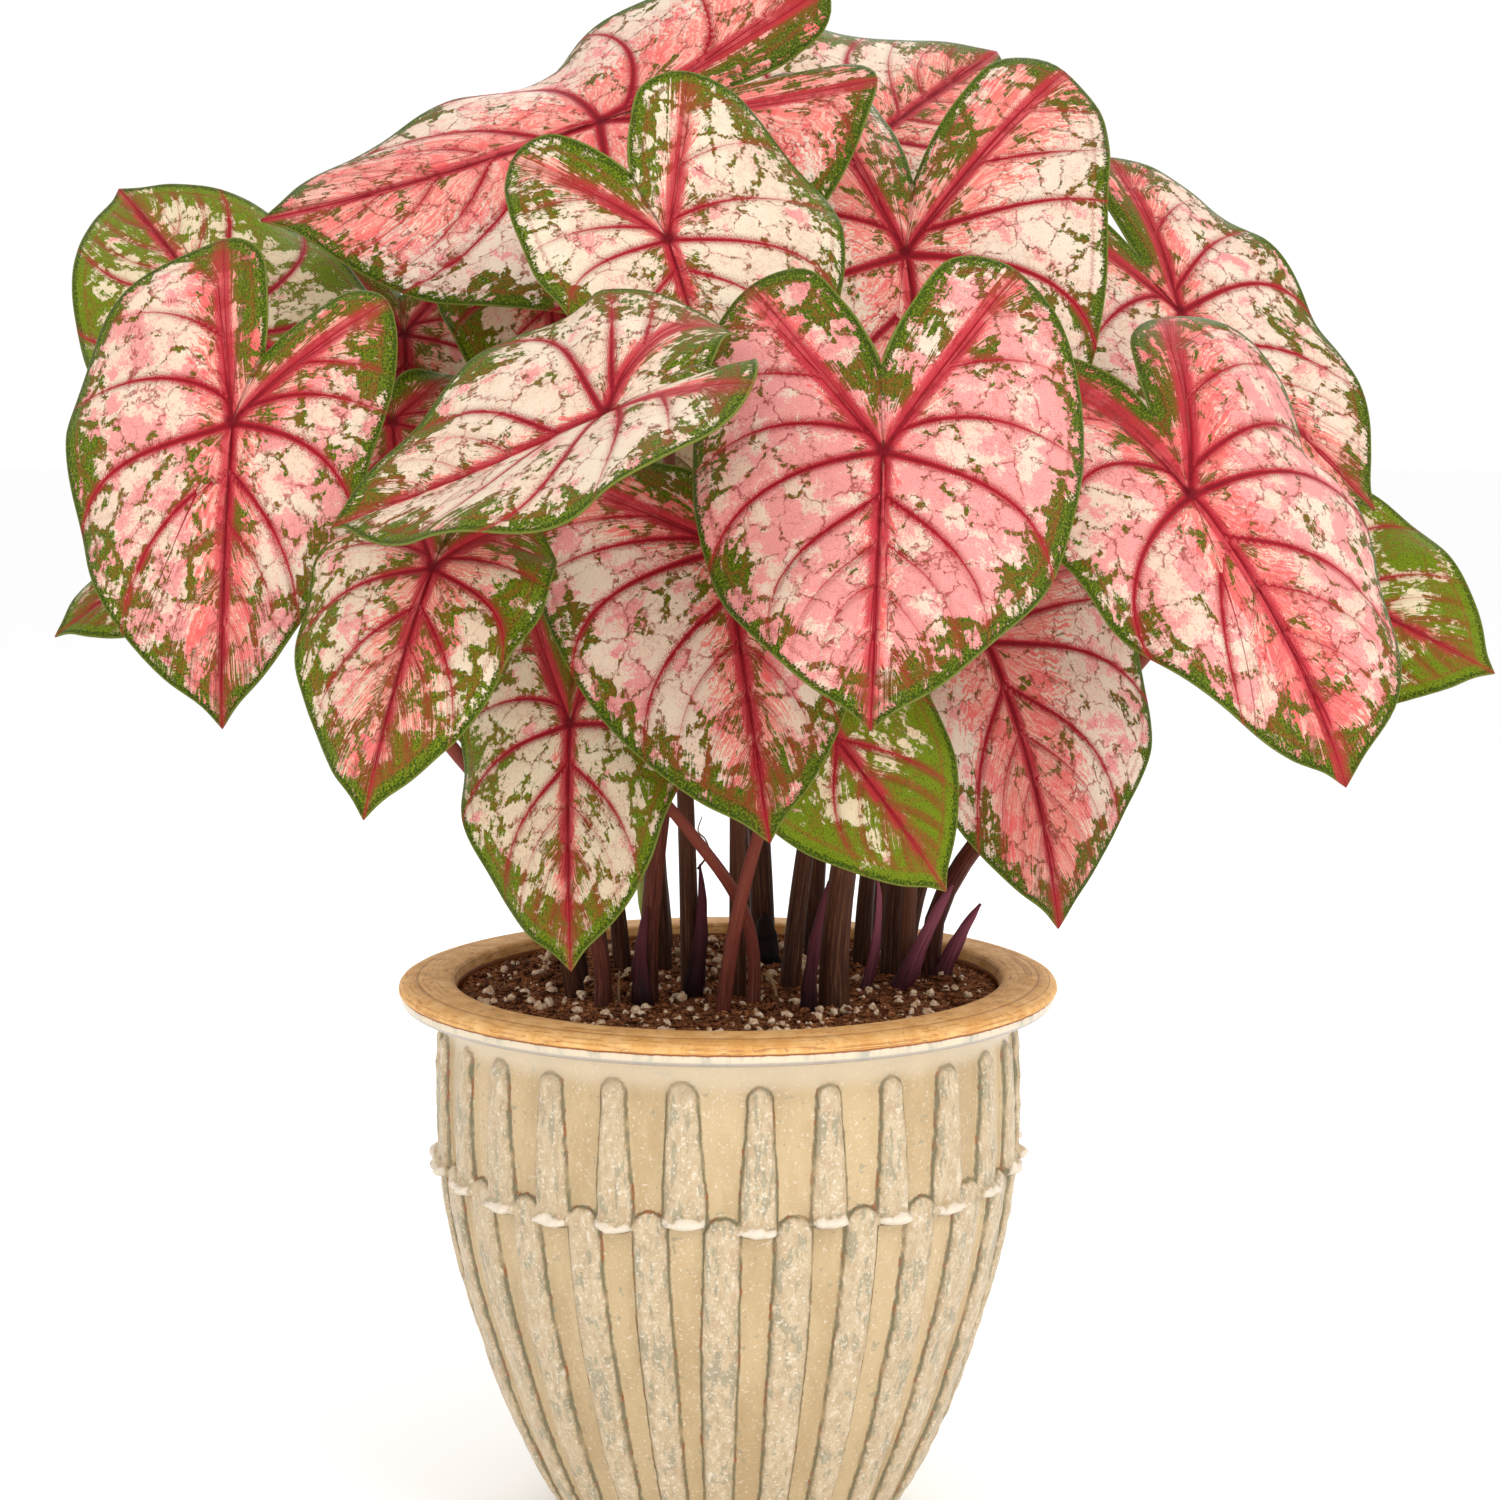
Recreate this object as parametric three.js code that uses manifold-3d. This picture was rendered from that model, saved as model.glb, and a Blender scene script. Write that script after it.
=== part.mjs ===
// A caladium in a glazed stoneware pot. Millimetres, +Z up, origin at the middle of the pot's flat base.
// The pot, the soil, every leaf stem (petiole) and every leaf blade are separate solids.

import * as THREE from 'three';
import { mergeVertices } from 'three/addons/utils/BufferGeometryUtils.js';
import Module from 'manifold-3d';

const wasm = await Module();
wasm.setup();

// ---------------------------------------------------------------- driving dimensions

const POT_HEIGHT = 230;
const RIM_RADIUS = 135;        // widest part of the clay rim
const MOUTH_RADIUS = 112;      // inner edge of the clay rim
const FOOT_RADIUS = 68;
const WALL = 12;
const FLOOR = 14;
const NECK_Z = 211;            // top of the relief, just under the rim
const STRIP_COUNT = 27;        // raised strips in each of the two tiers
const STRIP_PHASE = -4.1;      // degrees from +X to the middle of the first upper strip
const STRIP_SLOPE = 0.25;      // share of the pitch over which a strip rises to its crest
const STRIP_HEIGHT = 3;
const LIP_HEIGHT = 5;          // thick glaze at the lower ends of the upper strips
const LIP_RISE = 6;            // how far that lip runs up the strip
const TIER_Z = 157;            // where the upper tier ends and the lower tier begins
const RIM_SIDES = 48;

const SOIL_Z = 224;
const SOIL_SIDES = 30;
const STEM_DEPTH = 30;         // how far a stem stands in the soil
const GAP = 0.3;               // clearance between touching pieces

const BLADE_HALF = 0.4;        // half the thickness of a leaf blade
const RIB_HALF = 1.1;          // the same at the root of the main ribs
const RINGS = [0.38, 0.72, 1]; // rows of points between the leaf's centre and its edge
const EDGE_WAVES = 7;          // waves once round the edge of a leaf
const STEM_SIDES = 6;
const STEM_STEPS = 7;
const STEM_TOP_RADIUS = 2;

// Body of the pot from the foot to the neck: radius at each height.
const BODY_PROFILE = [
  [0, FOOT_RADIUS], [6, 70.3], [32, 82], [58, 93], [85, 101.7], [110, 109], [136, 114.4],
  [TIER_Z - 3, 116.5], [TIER_Z, 116.8], [TIER_Z + LIP_RISE, 117.1], [184, 117.4], [200, 116.8],
  [206, 116.5], [NECK_Z, 116.2],
];

// Edge of half a leaf from the tip to the basal lobe: [along, across], as shares of the tip length
// (or of the lobe length behind the centre) and of the half width.
const HALF_EDGE = [
  [1, 0], [0.93, 0.11], [0.84, 0.31], [0.68, 0.55], [0.46, 0.78], [0.18, 0.94], [-0.15, 1],
  [-0.48, 0.96], [-0.8, 0.8], [-0.99, 0.57], [-0.97, 0.33],
];

// One row a leaf, named by its number.
// centre: where the stem joins the blade. azimuth, pitch: where the tip points. roll: turn about the
// midrib. tip: length from the centre to the tip. width, lobe, notch: half width, lobe length and depth
// of the notch as shares of tip. droop, rear: bend of the tip and of the lobes, in degrees. arch, fold:
// curve and fold across the midrib. lift, twist: rise of both lobes, and of one against the other.
// splay, turn: lobes spread apart, and swung to one side. skew: one half wider than the other.
// wave: height of the waves along the edge. root: where the stem stands in the soil. rise, reach: how
// far it runs straight up from the soil, and straight into the blade. thick: its radius at the soil.
const LEAF_KEYS = [
  'centre', 'azimuth', 'pitch', 'roll', 'tip', 'width', 'lobe', 'notch', 'droop', 'rear', 'arch', 'fold',
  'lift', 'splay', 'skew', 'turn', 'twist', 'wave', 'root', 'rise', 'reach', 'thick',
];
const LEAF_ROWS = {
  '01': [[-182, -95, 455], -95, -70, 6, 115, 0.56, 0.58, 0.25, 10, 10, 35, 12,
    -5, -3, -0.1, -22, 0, 3, [-60, -24], 120, 40, 4.6],
  '02': [[-204, 20, 494], 130, 35, -30, 118, 0.52, 0.66, 0.3, 5, 15, 30, 8,
    5, -5, 0, -5, 0, 3, [-60, 8], 130, 40, 4.4],
  '03': [[-205, 20, 412], 190, -25, -30, 85, 0.6, 0.5, 0.28, 20, 15, 30, 10,
    0, 0, 0, 0, 0, 3, [-64, 34], 110, 40, 4],
  '04': [[-50, 10, 575], 190, -20, -42, 143, 0.58, 0.7, 0.38, -5, 0, 40, 0,
    30, -12, 0.1, -5, -10, 4, [15, 56], 240, 40, 6],
  '05': [[-21, -100, 521], -60, -58, 15, 80, 0.78, 0.8, 0.36, 0, -10, 28, 8,
    -20, 0, 0.16, 15, 5, 3, [-15, -18], 130, 40, 4.4],
  '06': [[50, 80, 566], 52, 28, 38, 138, 0.62, 0.4, 0.2, 10, 15, 20, 5,
    0, 0, 0, 0, 0, 4, [37, 86], 200, 20, 4.6],
  '07': [[70, -20, 521], -80, -58, 12, 142, 0.57, 0.75, 0.25, 25, 30, 15, 10,
    5, 5, 0, -12, 0, 4, [24, -8], 70, 80, 4.6],
  '08': [[-38, -205, 457], 165, -25, -35, 105, 0.68, 0.52, 0.36, -5, 15, 35, 25,
    -15, 8, 0, 10, 20, 3, [-31, -36], 120, 20, 4.4],
  '09': [[54, -185, 445], -96, -56, 0, 108, 0.66, 0.76, 0.3, -5, -5, 32, 0,
    0, 4, 0, 3, 0, 3, [43, -44], 70, 50, 7],
  '10': [[-100, -170, 405], -118, -55, -12, 92, 0.53, 0.42, 0.24, 25, 25, 30, 0,
    -12, -3, -0.15, -5, -5, 3, [-52, -46], 60, 25, 3.8],
  '11': [[0, -125, 410], -72, -63, 20, 110, 0.58, 0.45, 0.2, 15, 25, 35, 15,
    10, 18, -0.14, 0, 0, 3, [4, -24], 240, 40, 4],
  '12': [[166, -130, 429], -32, -48, 32, 121, 0.63, 0.66, 0.3, 32, 50, 58, 15,
    20, -15, 0.18, -20, 5, 4, [88, 18], 110, 60, 4.8],
  '13': [[184, 20, 500], -8, -46, 40, 114, 0.62, 0.7, 0.24, -5, 5, 15, 10,
    -12, -5, 0, -12, -5, 3, [67, 21], 210, 40, 4.6],
  '14': [[239, 20, 390], -28, -22, 60, 85, 0.63, 0.66, 0.3, 12, 12, 28, 0,
    8, 0, 0, 0, 0, 3, [74, 50], 160, 40, 4.2],
  '15': [[-58, -95, 343], -92, -62, 28, 95, 0.58, 0.72, 0.28, 12, 17, 30, 10,
    0, -5, 0, 0, 0, 3, [9, -41], 60, 25, 3],
  '16': [[103, -15, 368], -42, -60, 12, 120, 0.62, 0.38, 0.22, 30, 15, 10, 5,
    0, 0, 0.14, 0, 0, 3, [73, 0], 80, 40, 4],
  '17': [[32, -115, 350], -15, -50, 60, 84, 0.54, 0.36, 0.2, 15, 15, 20, 5,
    0, 0, 0, 0, 0, 3, [-3, -54], 50, 40, 3.4],
  '18': [[-137, 58, 492], -80, -55, 0, 93, 0.58, 0.5, 0.26, 20, 15, 20, 5,
    0, 0, 0, 0, 0, 3, [-44, 34], 140, 40, 4.2],
  '19': [[-133, -18, 455], -75, -60, 0, 74, 0.6, 0.36, 0.2, 20, 15, 20, 5,
    0, 0, 0, 0, 0, 3, [-50, 2], 120, 40, 3.8],
  '20': [[-74, 35, 513], -80, -55, 0, 80, 0.6, 0.5, 0.26, 20, 15, 20, 5,
    0, 0, 0, 0, 0, 3, [-27, 30], 140, 40, 4],
  '21': [[139, 80, 500], -40, -50, 25, 95, 0.6, 0.5, 0.26, 20, 15, 20, 5,
    0, 0, 0, 0, 0, 3, [56, 46], 150, 40, 4.2],
  '22': [[-120, 140, 465], 125, -45, 0, 120, 0.6, 0.55, 0.28, 20, 15, 30, 8,
    0, 0, 0, 0, 0, 4, [-29, 56], 260, 25, 4.6],
  '23': [[0, 150, 500], 92, -45, 0, 125, 0.6, 0.55, 0.28, 20, 15, 30, 8,
    0, 0, 0, 0, 0, 4, [10, 90], 150, 50, 4.4],
  '24': [[125, 145, 450], 55, -45, 0, 120, 0.6, 0.45, 0.24, 20, 15, 30, 8,
    0, 0, 0, 0, 0, 4, [36, 58], 240, 25, 4.6],
  '25': [[-70, 150, 390], 108, -60, 0, 110, 0.6, 0.55, 0.28, 20, 15, 30, 8,
    0, 0, 0, 0, 0, 4, [-28, 84], 80, 50, 4.4],
  '26': [[80, 150, 385], 75, -60, 0, 110, 0.6, 0.4, 0.22, 20, 15, 30, 8,
    0, 0, 0, 0, 0, 4, [66, 70], 80, 40, 4.4],
};

// Stems that wind between the other leaves, and the point that each passes through.
const STEM_BENDS = {
  '08': [-8, -98, 457], '09': [60, -70, 376], '10': [-118, -70, 350], '12': [185, 37, 371],
  '15': [-14, -70, 298],
};

const DEG = Math.PI / 180;
const TURN = Math.PI * 2;

const material = (color, roughness) => new THREE.MeshStandardMaterial({ color, roughness, metalness: 0 });
const GLAZE = material('#d8c6a2', 0.35);
const EARTH = material('#3a2a20', 0.95);
const STEM_SKIN = material('#4a2430', 0.5);
const LEAF_SKIN = material('#e58a92', 0.45);

// ---------------------------------------------------------------- mesh helpers

// One closed mesh from a list of points and a list of triangles.
function meshOf(points, faces) {
  const geometry = new THREE.BufferGeometry();
  geometry.setAttribute('position', new THREE.Float32BufferAttribute(points.flat(), 3));
  geometry.setIndex(faces.flat());
  return geometry;
}

function solidOf(geometry) {
  const bare = geometry.clone();
  bare.deleteAttribute('normal');
  bare.deleteAttribute('uv');
  const merged = mergeVertices(bare, 1e-4);
  return new wasm.Manifold(new wasm.Mesh({
    numProp: 3,
    vertProperties: new Float32Array(merged.attributes.position.array),
    triVerts: new Uint32Array(merged.index.array),
  }));
}

function geometryOf(solid) {
  const mesh = solid.getMesh();
  const geometry = new THREE.BufferGeometry();
  geometry.setAttribute('position', new THREE.BufferAttribute(mesh.vertProperties, 3));
  geometry.setIndex(new THREE.BufferAttribute(mesh.triVerts, 1));
  return geometry;
}

// A profile of [radius, z] points, closed or ending on the axis, turned about Z.
function turned(profile, sides) {
  const points = profile.map(([radius, z]) => new THREE.Vector2(radius, z));
  return new THREE.LatheGeometry(points, sides).rotateX(Math.PI / 2);
}

function placed(name, geometry, skin) {
  const mesh = new THREE.Mesh(geometry, skin);
  mesh.name = name;
  return mesh;
}

// Radius of the pot's plain wall at a height, between the rows of the profile.
function wallRadius(z) {
  const next = BODY_PROFILE.findIndex(([height]) => height >= z);
  const [low, high] = [BODY_PROFILE[Math.max(next - 1, 0)], BODY_PROFILE[next]];
  return THREE.MathUtils.mapLinear(z, low[0] - 1e-9, high[0], low[1], high[1]);
}

const clamp = (value, low, high) => Math.min(high, Math.max(low, value));
const smooth = (value) => THREE.MathUtils.smoothstep(value, 0, 1);

// ---------------------------------------------------------------- pot

// Height of the raised strips at a share of the pitch (0 = middle of an upper strip) and a height.
// The lower tier stands half a pitch on, and each upper strip ends in a thick lip of glaze.
function relief(share, z) {
  const lower = smooth((Math.abs(share) - STRIP_SLOPE / 2) / STRIP_SLOPE);
  if (z < TIER_Z) return STRIP_HEIGHT * lower * smooth(z / 32);
  const crest = z < TIER_Z + LIP_RISE ? LIP_HEIGHT : STRIP_HEIGHT;
  return crest * (1 - lower) * smooth((NECK_Z - z) / 11);
}

function potBody() {
  const shares = [-1.5, -0.5, 0.5, 1.5].map((step) => step * STRIP_SLOPE);
  const columns = STRIP_COUNT * shares.length;
  const points = [[0, 0, 0]];
  BODY_PROFILE.forEach(([z, radius]) => {
    for (let column = 0; column < columns; column += 1) {
      const share = shares[column % shares.length];
      const turn = (TURN * (Math.floor(column / shares.length) + share)) / STRIP_COUNT;
      const angle = turn + STRIP_PHASE * DEG;
      const r = radius + relief(share, z);
      points.push([r * Math.cos(angle), r * Math.sin(angle), z]);
    }
  });
  points.push([0, 0, NECK_Z]);
  const faces = [];
  const at = (row, column) => 1 + row * columns + (column % columns);
  const last = BODY_PROFILE.length - 1;
  for (let column = 0; column < columns; column += 1) {
    faces.push([0, at(0, column + 1), at(0, column)]);
    faces.push([points.length - 1, at(last, column), at(last, column + 1)]);
    for (let row = 0; row < last; row += 1) {
      faces.push([at(row, column), at(row, column + 1), at(row + 1, column + 1)]);
      faces.push([at(row, column), at(row + 1, column + 1), at(row + 1, column)]);
    }
  }
  return solidOf(meshOf(points, faces));
}

// The clay rim with its rounded outer edge, the roll of glaze under it and the hollow of the neck.
function potRim() {
  const low = NECK_Z - 3;
  return solidOf(turned([
    [0, low], [116, low], [116.6, 213.5], [118.5, 217], [124, 219.6], [131.5, 220], [134, 221.5],
    [134.4, 224], [RIM_RADIUS, 226], [134.2, 228], [132, 229.2], [128, POT_HEIGHT],
    [MOUTH_RADIUS + 2, POT_HEIGHT], [0, POT_HEIGHT],
  ], RIM_SIDES));
}

// What is cut away inside: the mouth, the wall's inner face and the floor.
function potHollow() {
  return solidOf(turned([
    [0, FLOOR], [FOOT_RADIUS - 9, FLOOR], [wallRadius(32) - WALL, 32], [wallRadius(85) - WALL, 85],
    [wallRadius(TIER_Z) - WALL, TIER_Z], [wallRadius(184) - WALL, 184], [107, NECK_Z],
    [MOUTH_RADIUS - 1, 221], [MOUTH_RADIUS, POT_HEIGHT - 2], [MOUTH_RADIUS + 3, POT_HEIGHT + 1],
    [0, POT_HEIGHT + 1],
  ], RIM_SIDES));
}

function buildPot() {
  return placed('pot', geometryOf(potBody().add(potRim()).subtract(potHollow())), GLAZE);
}

// ---------------------------------------------------------------- leaves

// Local frame of a leaf: along the midrib to the tip, across it, and out of the upper face.
function leafFrame(leaf) {
  const [azimuth, pitch, roll] = [leaf.azimuth * DEG, leaf.pitch * DEG, leaf.roll * DEG];
  const along = new THREE.Vector3(
    Math.cos(pitch) * Math.cos(azimuth), Math.cos(pitch) * Math.sin(azimuth), Math.sin(pitch));
  const level = new THREE.Vector3(-Math.sin(azimuth), Math.cos(azimuth), 0);
  const square = along.clone().cross(level);
  const across = level.clone().multiplyScalar(Math.cos(roll)).addScaledVector(square, Math.sin(roll));
  const out = level.multiplyScalar(-Math.sin(roll)).addScaledVector(square, Math.cos(roll));
  return { along, across, out, centre: new THREE.Vector3(...leaf.centre) };
}

// Flat edge of the leaf as [angle, radius] about the centre, once round from the tip.
function leafEdge(leaf) {
  const half = (side) => {
    const width = leaf.width * (1 + side * leaf.skew);
    const points = HALF_EDGE.map(([along, across]) => (
      [along > 0 ? along : along * leaf.lobe, across * width]));
    const [lobeAlong, lobeAcross] = points[points.length - 1];
    points.push([lobeAlong + (-leaf.notch - lobeAlong) * 0.4, lobeAcross * 0.46]);
    points.push([lobeAlong + (-leaf.notch - lobeAlong) * 0.75, lobeAcross * 0.15]);
    points.push([-leaf.notch, 0]);
    return points.map(([along, across]) => {
      const angle = Math.atan2(across, along) / DEG;
      const behind = smooth((angle - 80) / 70);
      const spread = leaf.splay * behind * clamp((180 - angle) / 35, 0, 1);
      const swung = side * (angle - spread) + leaf.turn * behind;
      return [swung * DEG, Math.hypot(along, across) * leaf.tip];
    });
  };
  return [...half(1), ...half(-1).slice(1, -1).reverse()];
}

// A point of the flat leaf bent to the leaf's form: position and the way out of the upper face, in the
// leaf's own frame. share runs from 0 at the centre to 1 at the edge.
function bend(leaf, along, across, share) {
  const width = leaf.width * leaf.tip;
  const bendRate = (along > 0 ? leaf.droop / leaf.tip : leaf.rear / (leaf.lobe * leaf.tip)) * DEG || 1e-7;
  const archRate = -leaf.arch * DEG / width || 1e-7;
  const turnHere = bendRate * along;
  const lobeShare = clamp(-along / (leaf.lobe * leaf.tip), 0, 1);
  const side = Math.sign(across);
  const start = (leaf.fold + (leaf.lift + side * leaf.twist) * lobeShare) * DEG;
  const reach = Math.abs(across);
  const sideways = (Math.sin(start + archRate * reach) - Math.sin(start)) / archRate;
  const wave = leaf.wave * Math.sin(EDGE_WAVES * Math.atan2(across, along) + leaf.azimuth) * share ** 3;
  const height = (Math.cos(start) - Math.cos(start + archRate * reach)) / archRate + wave;
  const point = [
    Math.sin(turnHere) / bendRate + height * Math.sin(turnHere),
    sideways * side,
    -(1 - Math.cos(turnHere)) / bendRate + height * Math.cos(turnHere),
  ];
  const tilt = share === 0 ? 0 : (start + archRate * reach) * side;
  const out = [Math.sin(turnHere) * Math.cos(tilt), -Math.sin(tilt), Math.cos(turnHere) * Math.cos(tilt)];
  return { point, out };
}

// The blade: two sheets with the same triangles, joined round the edge. The lower sheet is thicker
// under the main ribs, near the centre.
function bladeGeometry(leaf) {
  const frame = leafFrame(leaf);
  const edge = leafEdge(leaf);
  const count = edge.length;
  const ribs = [0, 5, 9, count - 9, count - 5];
  const sheet = (side) => {
    const put = (along, across, share, half) => {
      const { point, out } = bend(leaf, along, across, share);
      const local = point.map((value, axis) => value + side * half * out[axis]);
      return frame.centre.clone().addScaledVector(frame.along, local[0])
        .addScaledVector(frame.across, local[1]).addScaledVector(frame.out, local[2]).toArray();
    };
    const under = side < 0 ? RIB_HALF : BLADE_HALF;
    const points = [put(0, 0, 0, under)];
    RINGS.forEach((share) => edge.forEach(([angle, radius], index) => {
      const thickness = THREE.MathUtils.lerp(ribs.includes(index) ? under : BLADE_HALF, BLADE_HALF, share);
      const [along, across] = [share * radius * Math.cos(angle), share * radius * Math.sin(angle)];
      points.push(put(along, across, share, thickness));
    }));
    return points;
  };
  const upper = sheet(1);
  const points = [...upper, ...sheet(-1)];
  const faces = [];
  const add = (a, b, c) => {
    faces.push([a, b, c]);
    faces.push([a + upper.length, c + upper.length, b + upper.length]);
  };
  const at = (ring, ray) => 1 + ring * count + (ray % count);
  for (let ray = 0; ray < count; ray += 1) {
    add(0, at(0, ray), at(0, ray + 1));
    for (let ring = 0; ring < RINGS.length - 1; ring += 1) {
      add(at(ring, ray), at(ring + 1, ray), at(ring + 1, ray + 1));
      add(at(ring, ray), at(ring + 1, ray + 1), at(ring, ray + 1));
    }
    const [a, b] = [at(RINGS.length - 1, ray), at(RINGS.length - 1, ray + 1)];
    faces.push([a, a + upper.length, b + upper.length], [a, b + upper.length, b]);
  }
  return meshOf(points, faces);
}

// Line of a stem: straight up out of the soil, then round into the underside of the blade.
function stemLine(leaf) {
  const frame = leafFrame(leaf);
  const [x, y] = leaf.root;
  const foot = new THREE.Vector3(x, y, SOIL_Z - STEM_DEPTH);
  const end = frame.centre.clone().addScaledVector(frame.out, -(RIB_HALF + GAP));
  const approach = frame.centre.clone().addScaledVector(frame.out, -leaf.reach);
  const via = STEM_BENDS[leaf.name];
  if (!via) {
    return new THREE.CubicBezierCurve3(foot, new THREE.Vector3(x, y, SOIL_Z + leaf.rise), approach, end);
  }
  const surface = new THREE.Vector3(x, y, SOIL_Z + STEM_DEPTH);
  return new THREE.CatmullRomCurve3([foot, surface, new THREE.Vector3(...via), approach, end]);
}

// A closed cylinder bent along the line, thick at the soil and slender at the blade. With a margin it
// is that much larger all round: the hole that the stem stands in.
function stemGeometry(leaf, line, margin = 0) {
  const geometry = new THREE.CylinderGeometry(1, 1, 1, STEM_SIDES, STEM_STEPS);
  const frames = line.computeFrenetFrames(STEM_STEPS);
  const position = geometry.attributes.position;
  const point = new THREE.Vector3();
  for (let index = 0; index < position.count; index += 1) {
    point.fromBufferAttribute(position, index);
    const step = Math.round((point.y + 0.5) * STEM_STEPS);
    const share = step / STEM_STEPS;
    const radius = THREE.MathUtils.lerp(leaf.thick, STEM_TOP_RADIUS, share ** 0.8) + margin;
    const place = line.getPointAt(share)
      .addScaledVector(frames.tangents[step], step === 0 ? -margin : 0)
      .addScaledVector(frames.normals[step], point.z * radius)
      .addScaledVector(frames.binormals[step], point.x * radius);
    position.setXYZ(index, place.x, place.y, place.z);
  }
  return geometry;
}

const leaves = Object.entries(LEAF_ROWS).map(([name, row]) => {
  const leaf = Object.fromEntries(LEAF_KEYS.map((key, index) => [key, row[index]]));
  return { name, ...leaf };
});

// ---------------------------------------------------------------- soil

// The fill of soil, a little lower at the wall, with a plain hole for each stem.
function buildSoil() {
  const inside = (z) => wallRadius(z) - WALL - 1;
  let soil = solidOf(turned([
    [0, FLOOR + GAP], [FOOT_RADIUS - 10, FLOOR + GAP], [inside(32), 33], [inside(85), 85],
    [inside(TIER_Z), TIER_Z], [inside(184), 184], [106.2, NECK_Z], [110.2, SOIL_Z - 3],
    [95, SOIL_Z - 1], [60, SOIL_Z + 1], [0, SOIL_Z],
  ], SOIL_SIDES));
  leaves.forEach((leaf) => {
    soil = soil.subtract(solidOf(stemGeometry(leaf, stemLine(leaf), GAP * 1.2)));
  });
  return placed('soil', geometryOf(soil), EARTH);
}

// ---------------------------------------------------------------- assembly

const caladium = new THREE.Group();
caladium.add(buildPot(), buildSoil());
leaves.forEach((leaf) => {
  caladium.add(placed(`leaf_${leaf.name}`, bladeGeometry(leaf), LEAF_SKIN));
  caladium.add(placed(`petiole_${leaf.name}`, stemGeometry(leaf, stemLine(leaf)), STEM_SKIN));
});

export default caladium;
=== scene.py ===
# %% [markdown]
# # A caladium in a glazed pot
# A caladium is all leaf: thin heart-shaped blades in cream, pink, crimson and green, on slender stems that
# rise from a tuber in the soil. The pot is stoneware with a bare clay rim and two tiers of raised strips
# under a running glaze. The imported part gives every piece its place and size. This lesson gives each one
# its finish: fine leaf meshes with the same bends, veins and flecks painted by nodes, fleshy stems, loose
# soil and a pot with thick and thin glaze.

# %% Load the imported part
import math
from functools import partialmethod

import bmesh
import bpy
import numpy as np
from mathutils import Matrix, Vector, noise


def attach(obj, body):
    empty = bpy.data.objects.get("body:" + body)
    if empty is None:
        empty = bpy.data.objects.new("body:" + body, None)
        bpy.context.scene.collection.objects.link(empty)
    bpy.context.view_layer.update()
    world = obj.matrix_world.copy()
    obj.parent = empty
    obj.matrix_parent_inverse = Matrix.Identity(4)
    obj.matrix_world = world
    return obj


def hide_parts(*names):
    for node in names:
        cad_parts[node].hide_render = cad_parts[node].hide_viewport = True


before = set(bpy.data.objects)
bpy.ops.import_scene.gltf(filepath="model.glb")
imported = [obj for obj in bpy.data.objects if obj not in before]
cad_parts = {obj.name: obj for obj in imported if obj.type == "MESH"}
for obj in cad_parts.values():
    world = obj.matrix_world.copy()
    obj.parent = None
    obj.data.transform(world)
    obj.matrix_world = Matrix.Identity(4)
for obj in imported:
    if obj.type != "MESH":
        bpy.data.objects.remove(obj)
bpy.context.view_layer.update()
MM = 0.001
print("nodes in the frame:", len(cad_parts))

# %% [markdown]
# ## The camera
# The plant is seen from a little above the rim, about a metre away. A camera in Blender looks down its
# own -Z axis, so it is first stood up to look along +Y and then tipped down by a few degrees. The lens is
# a long one, which keeps the pot's sides nearly straight, as a portrait lens does.

# %% Place the camera
LENS_MM = 66.65
SENSOR_MM = 36
CAMERA_PLACE = Vector((9, -1127.7, 452.3)) * MM
CAMERA_TIP = math.radians(6.6)

camera_data = bpy.data.cameras.new("camera")
camera_data.lens = LENS_MM
camera_data.sensor_width = SENSOR_MM
camera = bpy.data.objects.new("camera", camera_data)
camera.location = CAMERA_PLACE
camera.rotation_euler = (math.pi / 2 - CAMERA_TIP, 0, 0)
bpy.context.scene.collection.objects.link(camera)
bpy.context.scene.camera = camera
print("camera stands", round(-CAMERA_PLACE.y, 3), "m in front")

# %% [markdown]
# ## Floor and light
# A studio shot of a plant is high in key: a pale floor, a bright room and large soft lights, so that thin
# leaves glow and no shadow is hard. The room is the world's own colour, and four area lights give the
# leaves and the glaze their shape. The Standard view keeps reds and greens as strong as they are painted,
# where a film-like view would wash them out.

# %% Floor, room and lamps
PLANT_MIDDLE = Vector((0, 0, 0.4))
FLOOR_ROUGHNESS = 0.9
ROOM_STRENGTH = 1.02
FLOOR_SIZE = 30
FLOOR_PAINT = (0.96, 0.96, 0.96, 1)


def add_lamp(name, place, size, power):
    """Hangs one square soft light and turns it to the middle of the plant."""
    data = bpy.data.lights.new(name, "AREA")
    data.size = size
    data.energy = power
    lamp = bpy.data.objects.new(name, data)
    lamp.location = place
    lamp.rotation_euler = (PLANT_MIDDLE - Vector(place)).to_track_quat("-Z", "Y").to_euler()
    bpy.context.scene.collection.objects.link(lamp)


def link_piece(name, mesh, finish=None):
    """Puts a mesh in the scene as a piece at the origin."""
    piece = bpy.data.objects.new(name, mesh)
    bpy.context.scene.collection.objects.link(piece)
    if finish is not None:
        mesh.materials.append(finish)
    return piece


def mesh_from(shape, name):
    """Turns a bmesh into a mesh with smooth faces."""
    mesh = bpy.data.meshes.new(name)
    shape.to_mesh(mesh)
    shape.free()
    mesh.shade_smooth()
    return mesh


world = bpy.data.worlds.new("room")
world.use_nodes = True
room = world.node_tree.nodes["Background"].inputs
room["Color"].default_value = (1, 1, 1, 1)
room["Strength"].default_value = ROOM_STRENGTH
bpy.context.scene.world = world
bpy.context.scene.view_settings.view_transform = "Standard"

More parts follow.
